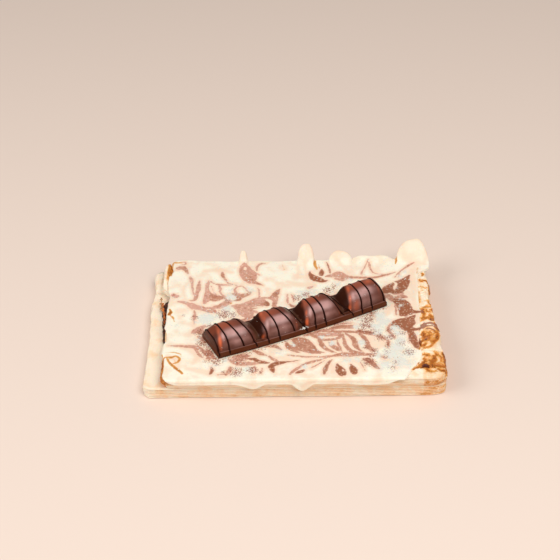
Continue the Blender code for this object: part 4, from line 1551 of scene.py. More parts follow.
@dataclass(frozen=True)
class Marbling:
    """Where milk chocolate, sugar, cocoa, browned spots and painted shade lie on the coat."""

    # milk chocolate drawn through the white; the tone runs from pink and pale to deep brown
    milk: tuple[Stroke, ...] = strokes(
        # broad patches round the bar
        (0.3, (-37.5, 6.6, 2), (-33.5, 6.4, 4.2), (-29.5, 6.6, 6.4), (-26, 7, 8.6), (-22, 9, 8.2),
         (-20.4, 10.5, 7)),
        (0.3, (-31, 4, 5), (-28, 1, 7.2), (-26.6, -3, 5)),
        (0.7, (-18.8, 9.2, 3), (-17, 7.8, 3.2), (-15.8, 7, 2)),
        (0.3, (-15, 13.4, 1.6), (-12.6, 13, 3), (-11.2, 9.4, 2.6), (-11.8, 7.6, 2.4)),
        (0.25, (-72, 11.6, 1.4), (-68, 10.4, 2.4), (-64.6, 8, 3.2), (-61.6, 6, 3.4), (-58, 4.6, 3.4),
         (-54, 3.6, 4), (-50.4, 2.4, 4.4), (-48, 1, 2.6)),
        (0.35, (-49, 6, 2), (-46, 6, 4), (-43.6, 8, 4), (-41.4, 10.6, 3.4), (-40, 12.6, 2)),
        (0.2, (-61.6, 3, 1.2), (-60.8, -1, 1.4), (-60.4, -6, 1)),
        (0.3, (8, -22.4, 1.6), (13, -21.8, 2.6), (19, -22.2, 3.4), (24.6, -22, 3.6), (28, -22.2, 3)),
        (0.5, (14, -18.6, 0.8), (22, -17.4, 1.6), (28, -15.8, 2.6), (33, -15.4, 2.8), (37, -16.2, 1.4)),
        (0.2, (24, -13.6, 0.7), (30, -12, 1.4), (36, -11.4, 1)),
        (0.75, (40, -18.8, 1.6), (44, -19.6, 2.6), (48, -20.8, 2.6), (51, -23, 1.2)),
        (0.65, (43.4, -44.4, 2.2), (46, -45.6, 4.2), (48.4, -48.6, 3.4), (50.4, -51.4, 2.8),
         (52.6, -53.4, 1)),
        (0.35, (-34.8, -41.6, 1.4), (-31, -42.4, 3.4), (-27.6, -41.2, 3), (-24.8, -40.4, 1.2)),
        (0.35, (-34, -44.6, 2.4), (-30, -45.8, 4.2), (-26, -46.8, 3.4)),
        (0.5, (-60, -16.2, 2), (-57.6, -17.8, 3.4), (-55, -17, 2.6)),
        (0.5, (-57.4, -22.4, 1.2), (-54.4, -24.4, 2.8), (-52.2, -27.4, 2.2)),
        # close behind the bar
        (0.35, (-44, -10, 0.6), (-36, -8.6, 1.6), (-30, -7, 2.2), (-22, -3.6, 1.4), (-14, -1.6, 0.8)),
        (0.3, (-27.4, -4, 4.4), (-28.6, -8.6, 3.2), (-31, -12.4, 1.2)),
        (0.4, (-12, 6.6, 2.4), (-10.6, 2.4, 2.6), (-13, -2.6, 1.2)),
        (0.45, (-3, 8.6, 1.2), (0, 5.4, 2.4), (6, 5.2, 2), (12, 8.6, 1.4), (18, 13, 0.8)),
        (0.35, (9.4, 15.6, 1.4), (12, 11.6, 2.2), (10.6, 7.6, 1.2)),
        (0.4, (20, 18, 1), (24, 14.6, 2.4), (30, 15.6, 2.2), (36, 19, 1)),
        (0.5, (33.4, 24, 1.2), (37.6, 20.6, 2), (42, 21.6, 1.6), (47, 25, 0.8)),
        (0.6, (47, 29.4, 0.8), (50.6, 25, 1.6), (53, 21, 2)),
        # back left: hooks, upright lines and loops
        (0.5, (-75, 45.4, 3.6), (-72.4, 46, 3.4), (-70.3, 43.4, 2.8), (-68.4, 39.8, 0.8)),
        (0.15, (-73.2, 51.9, 0.6), (-71, 51.6, 1), (-70.9, 50, 1.2), (-73, 49.5, 0.5)),
        (0.15, (-66.4, 36, 1.5), (-65.5, 32.8, 2.4), (-65, 29.4, 1.8), (-64.4, 25.4, 1.2), (-63.4, 20, 1.1),
         (-62.2, 17.6, 1.4)),
        (0.3, (-60.4, 31.8, 0.8), (-60.6, 27.5, 2.4), (-60.5, 23, 2.9), (-61.1, 18.6, 2.6),
         (-61.5, 14.3, 2.4), (-62.4, 12.4, 1.8), (-65.4, 12.2, 0.5)),
        (0.2, (-54.2, 31.2, 2), (-55.1, 26.5, 2.3), (-54.7, 22, 2.7), (-54, 17.5, 4.8), (-54.3, 13.5, 4.8),
         (-55.4, 9.6, 2.2)),
        (0.5, (-53, 19, 2), (-51.5, 16, 5.5), (-49.5, 14.2, 6.2), (-46.5, 14.4, 4.2), (-43.4, 14.2, 2.2),
         (-41.8, 12.4, 1.2)),
        (0.1, (-52.6, 26.5, 0.4), (-51.2, 22, 0.5), (-49, 18.5, 0.8), (-46, 16, 1)),
        (0.15, (-53, 31, 1.4), (-51.6, 29.6, 0.9), (-50, 28.4, 0.7), (-47.4, 27.6, 1.9), (-43.6, 27.3, 1.4),
         (-40.4, 27.1, 0.4)),
        (0.15, (-47.3, 27, 1.6), (-46.8, 23.6, 2), (-46.4, 20.6, 1.3), (-45.2, 17.8, 1.2),
         (-43, 15.2, 1.9)),
        (0.55, (-46.2, 40.4, 0.8), (-46, 38, 2.6), (-45, 35, 1.7), (-43.2, 31.9, 1), (-41.3, 28.8, 0.7),
         (-36, 26.6, 0.4)),
        (0.25, (-36.4, 25.2, 1), (-37.1, 22.2, 1.6), (-36.2, 19.2, 2), (-33.6, 17.4, 2.4)),
        (0.2, (-36.4, 25.2, 0.8), (-33.4, 26.2, 0.5), (-31, 24.4, 0.9), (-29.5, 21.6, 1.2),
         (-28.3, 20.4, 1)),
        (0.55, (-38, 18.6, 1.6), (-33.5, 16.4, 4), (-29.2, 18, 3.2), (-26.6, 20.6, 0.8)),
        (0.6, (-34.6, 15.6, 3), (-34, 13.2, 3), (-37, 11.6, 1)),
        (0.35, (-32.4, 48.6, 2.6), (-32.4, 45.5, 5.6), (-31.2, 41, 8.6), (-28.8, 36, 10.4),
         (-27.6, 31.6, 6)),
        (0.4, (-27.8, 31, 4), (-23.5, 28.8, 2.4), (-19.4, 26.5, 0.5)),
        (0.35, (-24.2, 41.6, 1.2), (-24, 45.8, 1.5), (-21.7, 48.7, 1.3), (-18.8, 49.2, 0.5)),
        (0.25, (-24.2, 38.6, 1), (-22.2, 36.8, 0.6)),
        (0.25, (-22.6, 24.4, 0.6), (-21.6, 20, 1.2), (-21.4, 15.4, 1.4)),
        (0.05, (-76.4, 18.6, 2), (-74.8, 17.4, 3), (-72.8, 16.6, 1.8)),
        # left of the bar: swoosh and bands
        (0.1, (-72, 11.8, 0.6), (-69.5, 11, 2), (-67, 9, 1), (-64.6, 6.6, 1.3), (-63, 3.8, 0.8)),
        (0.2, (-67, 10.2, 0.8), (-63.4, 9.2, 1.6), (-60.5, 7.4, 2), (-57, 5.9, 1.6), (-53.5, 4.9, 1.5),
         (-49.5, 5.1, 1.6), (-46.5, 6.6, 1.4), (-45, 9, 1)),
        (0.15, (-50, 4.2, 1.2), (-46, 5, 2.6), (-43, 7.4, 3.4), (-40.2, 9.8, 3), (-38, 11.4, 1.2)),
        (0.35, (-58.6, 4.4, 1.4), (-54, 3, 2.8), (-50, 1.6, 2.4), (-47.4, 0.2, 1.2)),
        (0.3, (-37.4, 6.8, 1.6), (-33, 4.4, 6.4), (-29.6, 0.6, 8), (-27.6, -3, 5)),
        (0.25, (-31, 7.6, 3), (-26, 9.6, 6), (-21.8, 10.6, 8), (-20.2, 8.2, 6)),
        (0.1, (-26.4, 2.2, 1), (-23.4, 0.6, 2.2), (-21.6, -0.6, 1.2)),
        (0.5, (-20, 14.4, 1.2), (-15, 14.2, 1.5), (-12.4, 16, 3.4), (-10.8, 18.6, 4), (-9.6, 21.4, 2),
         (-8.6, 23, 0.5)),
        (0.35, (-10.2, 16, 2), (-10.2, 11.4, 1.6), (-11.8, 8.6, 2.6)),
        (0.75, (-17.8, 10.2, 3), (-16, 7.4, 3.4)),
        (0.15, (-3.8, 17.2, 0.8), (-3.7, 12.6, 1.4), (-3.4, 9.2, 1)),
        (0.3, (-1.2, 17, 0.6), (-0.1, 13.4, 1.3), (0.2, 10.2, 1)),
        (0.25, (-60.2, -18.2, 3), (-57.6, -15.4, 4), (-54, -12.4, 2.2)),
        (0.1, (-61.2, -2, 0.8), (-60.8, -6.6, 1.1), (-60.4, -11, 0.5)),
        # back centre and back right: drops, patch and long thin lines
        (0.1, (9.4, 23.4, 1.8), (11.2, 24.3, 1.5), (13.2, 26.2, 0.5)),
        (1, (10, 39.4, 1.4), (10.6, 36.6, 3), (13, 33.2, 5.2), (16.2, 31.1, 4.6), (19.4, 29.8, 2.2),
         (21.8, 30.4, 0.6)),
        (0.95, (17.6, 41.8, 1.4), (17.6, 39, 3.2), (17.4, 36.6, 3)),
        (0.35, (20.6, 34.6, 1.4), (25, 35.6, 4.4), (28.6, 36.6, 5.4), (31.6, 34.2, 5.2), (35, 33, 2.6)),
        (0.3, (26.6, 32.2, 2), (30, 31.2, 3), (33, 31.4, 1.6)),
        (0.5, (34, 33.3, 2.8), (40, 33, 2.1), (46, 32.7, 1.9), (52, 33.2, 1.9), (57, 35, 1.7),
         (61, 36.5, 1.3), (64.6, 37.9, 0.4)),
        (0.4, (64, 33, 0.8), (66.6, 37, 1.2), (70, 41.2, 1.2), (73.6, 45.2, 1.4), (77, 47.7, 0.8)),
        (0.2, (42.8, 36.6, 1.2), (44.4, 42, 0.7), (46, 47, 0.9), (47.2, 51.6, 0.4)),
        (0.25, (47.8, 48.2, 1.4), (48.3, 43.6, 1.4), (50.2, 38.2, 1), (54, 36.4, 0.8), (58.4, 35.8, 0.4)),
        (0.75, (20.8, 49, 0.8), (22, 44, 1.2), (22.8, 38, 1.3)),
        (0.85, (55.6, 18.2, 4), (60.4, 21.4, 7.6), (66, 25, 8.4), (70.4, 29.6, 5.4), (73.2, 34.8, 1.4)),
        (0.4, (66.4, 32.6, 0.6), (67, 36.6, 0.4)),
        (0.95, (62, 17.4, 2.6), (66, 19.2, 5.4), (69.8, 23.4, 5), (72.4, 29, 3.2)),
        (0.05, (62.6, 15.6, 0.8), (66, 15.8, 1.6), (69, 16.6, 0.8)),
        (0.4, (56, 16, 3.6), (60, 13.6, 4.4), (61.8, 10.6, 3.6)),
        (0.4, (63.6, 12.6, 2.4), (68, 13.6, 3.6), (71, 12.8, 1.4)),
        (0.9, (62.8, 10.4, 3.4), (67.4, 7, 8.4), (69, 2.4, 9.4), (69, -1.4, 9.2)),
        (0.95, (71.6, 0.4, 4.4), (75.6, -1.6, 3), (80, -1.2, 1.6)),
        (0.5, (63.6, 8, 1.2), (63.6, 2, 1.2), (63.8, -4, 1)),
        (0.9, (65.4, -1, 2.4), (68.6, -3.2, 3.4), (73, -3, 2.6)),
        (0.85, (60.6, -13.4, 1.6), (65, -12, 8), (69.6, -12, 10.6), (72.2, -8.8, 5.6), (74.4, -4.4, 2.6)),
        (0.85, (69.6, -16, 7.6), (72.4, -21.6, 4.4), (73.4, -27.6, 5.2), (75, -33.8, 3.4)),
        (0.95, (70.6, -17.2, 6), (75, -18.6, 2.8), (79.6, -16.2, 1.8)),
        (0.75, (64, -15, 2), (68, -18, 4.6), (71, -20.6, 3)),
        (0.35, (60, -12.8, 1.4), (58.6, -16.8, 2.2), (60, -21.6, 2), (62.4, -25.8, 1.2)),
        # left front: tapering line and its foot
        (0.35, (-75, -30.4, 0.4), (-68, -31, 1.8), (-62, -31.4, 2.6), (-58, -32.2, 3.4), (-55.4, -35.2, 5),
         (-52.6, -39, 5.2), (-48.6, -43, 1.6)),
        (0.35, (-51, -34.6, 1), (-48.4, -38.6, 2.8), (-46, -42.6, 1.2)),
        (0.3, (-37, -43.6, 1.6), (-32, -46, 5), (-26.4, -47.4, 3.4), (-20, -47, 2.2)),
        (0.3, (-35, -41.8, 1.2), (-30, -40.2, 2.2), (-26, -38.8, 0.8)),
        (0.8, (-27, -43, 0.8), (-22, -43.6, 2.8), (-19.4, -45.6, 3.4), (-15.4, -46.6, 2.2),
         (-12.6, -46.8, 0.8)),
        (0.5, (-22.6, -35.8, 1.6), (-18.4, -38.2, 3), (-14.6, -40.2, 0.8)),
        (0.5, (-12.8, -41.2, 1.6), (-10, -44.2, 2.2), (-7, -46.2, 0.6)),
        (1, (-47, -50.6, 1.4), (-46.6, -53, 2.4), (-47.2, -55.6, 1.8)),
        (0.4, (-35.6, -50.8, 2.2), (-36.2, -54, 3), (-38, -57, 1.4)),
        (0.3, (-21.2, -49.8, 1), (-20.6, -53.4, 1.2), (-22, -56.4, 0.6)),
        (0.4, (-16.6, -52, 0.9), (-17.2, -56, 1.1)),
        # front: the feather, its spine and its barbs
        (0.56, (-15, -32, 1), (-9.6, -32.4, 2.6), (-6.2, -35.2, 1.2)),
        (0.61, (-2.8, -29.4, 1.8), (-1.4, -33.4, 3.6), (2.2, -36.8, 1.8), (5.4, -38.4, 0.5)),
        (0.58, (2.4, -27, 4.6), (6.4, -29.4, 9.4), (10.4, -33.2, 7.4), (15.2, -37, 2.6), (20, -38.5, 0.4)),
        (0.58, (1, -33, 4.6), (6, -35, 4.2), (12, -37.6, 2.8), (17.4, -39, 0.8)),
        (0.51, (11, -20.6, 1.6), (13.4, -22.8, 3.4), (15.6, -25, 1.2)),
        (0.56, (16.6, -25.4, 1.8), (17.8, -30, 3.2), (20, -34, 3), (23.6, -37, 2.2), (28, -39, 0.4)),
        (0.51, (17.6, -26.4, 1.6), (22, -27, 2.2), (27, -26, 1.8), (30.4, -24.4, 1.6)),
        (0.56, (22.6, -29.4, 0.8), (25, -32.6, 3.2), (28, -35.6, 3), (30.6, -37.4, 1)),
        (0.51, (27.4, -27.4, 0.8), (28.6, -32, 1.4), (30.2, -36.4, 0.8)),
        (0.58, (31, -22, 1.4), (31.6, -27, 1.7), (32.6, -32, 2.6), (35.2, -36.6, 3), (40, -39, 2.4),
         (45.6, -40, 1)),
        (0.58, (32.8, -21.4, 1.6), (35.6, -24.2, 2.3), (38, -28, 3.5), (38.6, -32, 3.4), (40.6, -36, 1.8),
         (43.4, -38.2, 0.4)),
        (0.56, (40.6, -21.2, 1.8), (43.6, -24.8, 2.8), (45.2, -29, 3), (46.2, -33.4, 3.8),
         (48.6, -37, 1.6)),
        (0.56, (14, -19.4, 0.8), (20, -19, 1.6), (28, -19.4, 2), (36, -19.6, 2.4), (42, -20.2, 2.4),
         (48, -21.8, 2.4), (53, -24.2, 2), (57.4, -27.8, 1.2)),
        (0.56, (27.4, -20.6, 2.4), (29.4, -23, 3.6)),
        (0.61, (23, -16.6, 1.4), (29, -15.2, 3.6), (36.4, -14, 2)),
        (0.51, (8, -22.4, 0.8), (14, -20, 1.4), (20, -17.6, 0.8)),
        (0.46, (-2.4, -40.3, 0.5), (4, -41.3, 1.4), (12, -42.1, 1.1), (19, -42.2, 1.4), (23, -41.8, 1.6)),
        (0.46, (22, -42, 1), (30, -40.4, 3.4), (36, -40.6, 3.6), (44, -40.4, 2.6), (50.6, -40.6, 0.6)),
        (0.91, (-12, -50.2, 3.2), (-9, -48, 3.6), (-4, -46.6, 2), (1, -45.8, 0.8), (5.4, -45, 0.3)),
        (0.91, (-11.6, -50, 3.4), (-10.6, -52.6, 3), (-9.8, -55.2, 1.2)),
        (0.46, (0, -57, 1.6), (3, -53.2, 2.4), (6.4, -50, 1.4), (10, -47.8, 2.2), (15, -45.6, 1.9),
         (19.4, -43.8, 1), (22, -42.6, 0.5)),
        (0.86, (3.4, -56, 1.4), (5.8, -55.2, 2.8), (8, -53.8, 1.6)),
        (0.46, (12.8, -51.4, 0.6), (17, -48, 1), (20.4, -45.2, 0.5)),
        (0.66, (19.8, -57, 1.4), (20.4, -53.6, 2.8), (21.4, -50, 2.3), (23, -46.8, 1.9),
         (24.6, -44.6, 0.6)),
        (1, (27.6, -49, 1.6), (28.8, -52, 4.4), (30, -55, 6.2), (30.6, -57, 5)),
        (1, (35.4, -48.6, 0.9), (36.4, -51.6, 2.8), (37.4, -54.6, 4.6), (37.8, -56.6, 3.6)),
        (0.36, (41.4, -47.4, 0.5), (42.6, -51, 0.8), (44, -54.6, 0.4)),
        (0.56, (57.6, -26.4, 1), (58.4, -30, 2.2), (57.8, -34, 1.2)),
        (0.56, (53.6, -42.6, 1), (56.6, -44.2, 1.6)),
        # front edge and the part nobody looks at first
        (0.4, (-43, -56.8, 0.8), (-39, -56.4, 0.9)),
    )
    # white lines that part the milk chocolate
    cuts: tuple[Stroke, ...] = strokes(
        (0.5, (-60, 9.4, 0.5), (-57, 8.2, 0.8), (-53, 7, 1.3), (-48.5, 7.8, 1.3), (-45, 10.8, 0.8)),
        (0.5, (-56.6, 4.4, 0.3), (-52, 3.6, 0.5), (-47.4, 3.6, 0.5)),
        (0.5, (-31.6, 45.6, 0.5), (-31.8, 43.6, 1.9), (-31, 42, 0.6)),
        (0.5, (-25.4, 5.2, 0.5), (-21, 5.4, 1.5), (-16.6, 4.8, 0.8)),
        (0.5, (31, -53.6, 0.8), (31.2, -54.6, 0.9)),
        (0.5, (62.4, 29, 0.5), (64.6, 26.4, 1.4), (63.6, 22.4, 1.5), (63.2, 20, 0.4)),
        (0.5, (55, -7.2, 0.8), (62, -6.6, 1), (68, -5.8, 0.8), (73, -4.6, 0.6), (77.6, -2.8, 0.4)),
        (0.5, (64.9, 2.4, 0.3), (64.9, -1, 0.7), (65, -4.6, 0.9)),
        (0.5, (65.4, -17.4, 0.6), (67, -19.6, 2), (69.6, -21.6, 0.8)),
        (0.5, (58, 15.6, 0.4), (60, 16.4, 0.9), (62.6, 15.8, 0.4)),
        (0.5, (-56.2, -34.8, 0.5), (-53.8, -38, 1.5), (-51.2, -41.8, 1.3)),
        (0.5, (-34, -44.6, 0.3), (-29, -45.4, 0.8), (-25, -45.2, 0.4)),
    )
    # browned edges and spots; the tone is how far they are browned
    gold: tuple[Stroke, ...] = strokes(
        (0.7, (-41.4, 9.2, 1.2), (-39.4, 9, 2.2), (-38.2, 9.6, 1)),
        (0.5, (3, -41.8, 0.5), (10, -42.2, 0.8), (18, -42, 0.5)),
        (0.86, (-76, -41, 1.2), (-72, -41, 1.4), (-69, -40.2, 1.3), (-66.7, -42.5, 1.4),
         (-67.5, -45.5, 1.5), (-70.2, -46.6, 0.8)),
        (0.55, (-73, -42.2, 0.5), (-70.6, -42.4, 0.8), (-69.4, -44.6, 0.8)),
        (0.94, (-74.4, -42, 1), (-71.6, -47, 1.7), (-68, -51, 1.8), (-64, -55.4, 1.2)),
        # painted shadow: a thin dark line for the gap at the coat's back left edge
        (0.75, (-80.6, 36, 0.8), (-80.8, 28, 0.9), (-80.4, 22, 1.6)),
        (0.62, (-75.4, -37, 0.6), (-70.4, -36.8, 1), (-66.6, -38.4, 0.9), (-66, -40.2, 0.5)),
        (0.95, (-76.8, 4.2, 0.8), (-76, 1.6, 2.2), (-76.8, -0.4, 2.6)),
        (0.7, (-76.2, -1.4, 0.9), (-74.2, -4, 1.1), (-73, -7.6, 0.6)),
        (0.72, (-78.6, 51.6, 1.6), (-76, 51.6, 1.7), (-73.4, 51.6, 1.2)),
        (0.7, (-79.6, 52, 3), (-79.4, 46, 1.8), (-79, 38, 1)),
        (0.82, (12.8, 50.4, 1.6), (13.2, 46.4, 2), (14.6, 42.2, 0.8)),
        (0.65, (15.4, 46.8, 0.9), (15.9, 43.6, 1.2)),
        (0.5, (-7.8, 47.6, 0.8), (-6.6, 42.4, 1.2)),
        (1.1, (65.1, 53, 0.5), (65.3, 49.8, 1.2), (64.8, 46.4, 0.6)),
        (0.6, (78.9, 42.4, 0.5), (78.6, 39.4, 1.2), (77.8, 36, 0.5)),
        (1.2, (73.4, -53.4, 1), (76.2, -50, 3), (78.4, -46.4, 2.6)),
        (1, (76, -31, 2.2), (75.6, -34, 2.6), (76.6, -36.4, 1)),
        (0.95, (-78.4, -39, 2.4), (-77.6, -46, 3.4), (-77.2, -54, 3)),
    )
    # painted shade in soft hollows, where the white is painted peach
    shade: tuple[Stroke, ...] = strokes(
        (1, (-74, -40, 3), (-69, -43, 5), (-67, -50, 4)),
        (1, (-62, -51, 3), (-54, -53, 5), (-47, -56, 4)),
        (1, (-11, -42, 1.6), (-4, -43, 3.4), (3, -46.4, 3), (8, -52, 2)),
        (1, (12, -52, 4), (18, -47, 3), (24, -49, 3), (25, -55, 4)),
        (1, (32, -44.4, 2), (38, -46.6, 3.4), (43, -51, 4)),
        (1, (24, -40.6, 2.6), (32, -39.6, 3), (42, -39.8, 2)),
        (1, (46, -27, 6), (51, -29, 8), (52, -33, 6)),
        (1, (62, 6, 3), (60, 0, 4), (58, -4, 2)),
        (1, (72, 18, 3), (75, 10, 4), (76, -6, 4), (75.6, -12, 3)),
        (1, (-66, -33, 2), (-60, -36, 4), (-56, -41, 4), (-58, -46, 3)),
        (1, (-68, 30, 2), (-70, 22, 3), (-68, 14, 2)),
        (1, (7.4, 72, 3), (7, 56, 2.6), (7, 42, 2), (9, 32, 1.4)),
        (1, (12.6, 60, 1.4), (12.8, 50, 1.4), (13.6, 41, 1)),
        (1, (25, 58, 1.4), (27.6, 51, 2), (31.6, 43.4, 1.8), (35, 37, 0.8)),
        (1, (2, 46, 0.6), (2.3, 40, 1.2), (2, 31, 0.8)),
        (1, (70, 62, 3), (72, 54, 5), (74, 47, 3)),
        (1, (83.6, 66, 3), (84.4, 56, 3.4), (83, 46, 2)),
        (1, (75, 40, 4), (75.4, 26, 5), (75, 10, 3)),
        (0.6, (-4, 30, 3), (4, 27, 5), (12, 28, 3)),
        (1, (48, -28, 4), (54, -31, 5), (50, -36, 2)),
        (0.4, (-58, 42, 3), (-50, 43, 4), (-40, 40, 3)),
    )
    # centre, radius and strength of each dusting
    sugar: tuple[tuple[float, float, float, float], ...] = (
        (-39, 15, 4.2, 0.9), (-41, 3.4, 4, 0.8), (-53, -5.4, 5.6, 1), (-58.4, -8.4, 3, 0.6),
        (-46, -3.6, 3, 0.6), (-27.4, 22.6, 4.4, 0.6), (6.4, 17, 4.6, 0.9), (12, 19.6, 4, 0.7),
        (23.6, 19, 3, 0.6), (28, 26.4, 3.4, 0.6), (35, 30.6, 2.6, 0.7), (67.6, 33, 2.2, 0.7),
        (70.4, 37.6, 2, 0.7), (65, 22, 1.8, 0.6), (68, 11, 2, 0.5), (66.8, 4.6, 2, 0.6),
        (53.6, -5, 4, 1), (55.6, -10.6, 4.4, 1), (51.6, -15.4, 4.4, 1), (52, -21, 3.6, 0.9),
        (62.6, -17, 3.4, 0.9), (64.4, -21.6, 3.4, 0.8), (58.6, -24.6, 3, 0.7), (65, -28.6, 4.4, 0.9),
        (63.4, -34.6, 5, 1), (60.4, -40.6, 6, 1), (64.6, -46.6, 6, 1), (55.6, -50.6, 4.4, 0.9),
        (70.6, -39.6, 4.4, 0.8), (51.6, -41.6, 3.4, 0.8), (42.4, -29.6, 2.6, 0.9),
        (33.4, -45.4, 4.4, 0.7), (39.4, -44.6, 3.6, 0.6), (24.4, -30.6, 2.4, 0.9), (18.4, -24.4, 1.9, 1),
        (1.4, -31.4, 1.7, 1), (8.6, -50.6, 2.6, 0.8), (-6.6, -37.4, 4, 0.6), (38.6, -15.4, 3, 0.7),
        (40.6, -8.6, 2.8, 0.6), (-39.4, -43, 2.6, 0.8), (-45.4, -48.4, 3.4, 0.6), (-56.4, -25, 3.2, 0.5),
        (-25.6, -52.6, 3.4, 0.7), (-72, -12, 3, 0.5), (-40, 22.4, 3, 0.5), (76, -22.6, 2.2, 0.6),
        (69, -49, 5, 0.6), (59, -54, 5, 0.55),
    )
    cocoa: tuple[tuple[float, float, float, float], ...] = (
        (-56, -18, 4, 0.8), (-53, -36, 3, 0.5), (-50, -44.6, 3, 0.5), (-31, -44.6, 4, 0.6),
        (-32, -54.4, 4.4, 0.9), (-22.4, -53, 3.4, 0.9), (-39, -55, 2.4, 0.6), (-18, -55.6, 2, 0.6),
        (46.4, -47, 4, 0.9), (49.6, -37, 2.6, 0.9), (44.4, -33.6, 2.4, 0.6), (67, -22, 3, 0.6),
        (60, -52.4, 3, 0.5), (-10.6, 18, 2.4, 0.5), (-42.6, -1.6, 4.6, 0.8), (-37.4, -2.6, 4, 0.7),
        (-60.6, -4, 3, 0.6), (-50.6, -12.6, 3, 0.6), (-55, -29, 3.6, 0.7), (-49, -38, 4, 0.8),
        (-44, -44.6, 4.6, 0.7), (-28, -40.4, 4, 0.5), (3, 13.6, 3.6, 0.7), (7.6, 17, 3, 0.8),
        (21.6, 21.6, 3.6, 0.8), (25, 24, 3, 0.6), (48.6, -3, 3.4, 0.8), (46.4, -8, 4.4, 0.9),
        (44.6, -13.6, 4, 0.9), (42.6, -17.6, 3.4, 0.7), (48.4, -19, 3.6, 0.7), (53.6, -24.6, 4, 0.8),
        (60.4, -24.6, 3.4, 0.8), (59, -18.4, 2.6, 0.7), (58, -33, 2.6, 0.6), (70, -38.6, 4.6, 0.6),
        (48.4, -41, 3, 0.7), (48, -48.6, 4, 0.6), (56, -43, 2.4, 0.6), (71.6, -29, 3.6, 0.5),
        (-74.6, 17, 3.4, 0.4), (-68, -2, 1.6, 0.5), (-53, 2, 3, 0.4), (-41, 11, 3.4, 0.5),
        (43.4, 35.6, 2, 0.3), (65.6, -31, 3.6, 0.55), (57, -38.6, 2.8, 0.5), (62, -47.6, 3.6, 0.45),
    )

    def zone(self, places: np.ndarray, spots: Sequence[tuple]) -> np.ndarray:
        """How strongly the round spots of a dusting reach each place.

        Args:
            places: one row of x and y for each.
            spots: centre, radius and strength of each spot.

        Returns:
            A value from 0 to 1 for each place.
        """
        found = np.zeros(len(places))
        for x, y, radius, strength in spots:
            away = ((places - (x, y)) ** 2).sum(1) / radius**2
            found = np.maximum(found, strength * np.exp(-0.9 * away))
        return found

    def wander(self, places: np.ndarray) -> np.ndarray:
        """Shifts the places a little, so that drawn lines waver as poured ones do.

        Args:
            places: one row of x and y for each.

        Returns:
            The shifted places.
        """
        moved = places.copy()
        for row in moved:
            x, y = row
            row[0] += 0.3 * ripple(x, y, 7.0, 1.1) + 0.25 * ripple(x, y, 2.4, 4.1)
            row[1] += 0.3 * ripple(x, y, 7.0, 2.1) + 0.25 * ripple(x, y, 2.4, 5.1)
        return moved

    def apply(self, made: bpy.types.Object, height: float) -> None:
        """Lays every value that the marbled finish reads on the coat's mesh.

        Args:
            made: the coat.
            height: the level of its top.
        """
        places = self.wander(along_view(points_of(made), height))
        milk = Drawing(places, self.milk)
        lay(made, "milk", np.minimum(milk.inside, -Drawing(places, self.cuts).inside))
        lay(made, "tone", milk.tone)
        gold = Drawing(places, self.gold)
        lay(made, "gold", np.clip(gold.inside + 0.6, 0.0, 1.0) * gold.tone)
        # painted shade: the upturned lobes, which face the light, are painted peach
        lobes = 0.6 * smooth_array(height + 0.5, height + 3.0, points_of(made)[:, 2])
        painted_shade = np.clip(0.5 + Drawing(places, self.shade).inside * 0.45, 0.0, 1.0) * 0.75
        lay(made, "shade", np.maximum(painted_shade, lobes))
        lay(made, "sugar", self.zone(places, self.sugar))
        lay(made, "cocoa", self.zone(places, self.cocoa))


# ------------------------------------------------------------------ the wafer bar


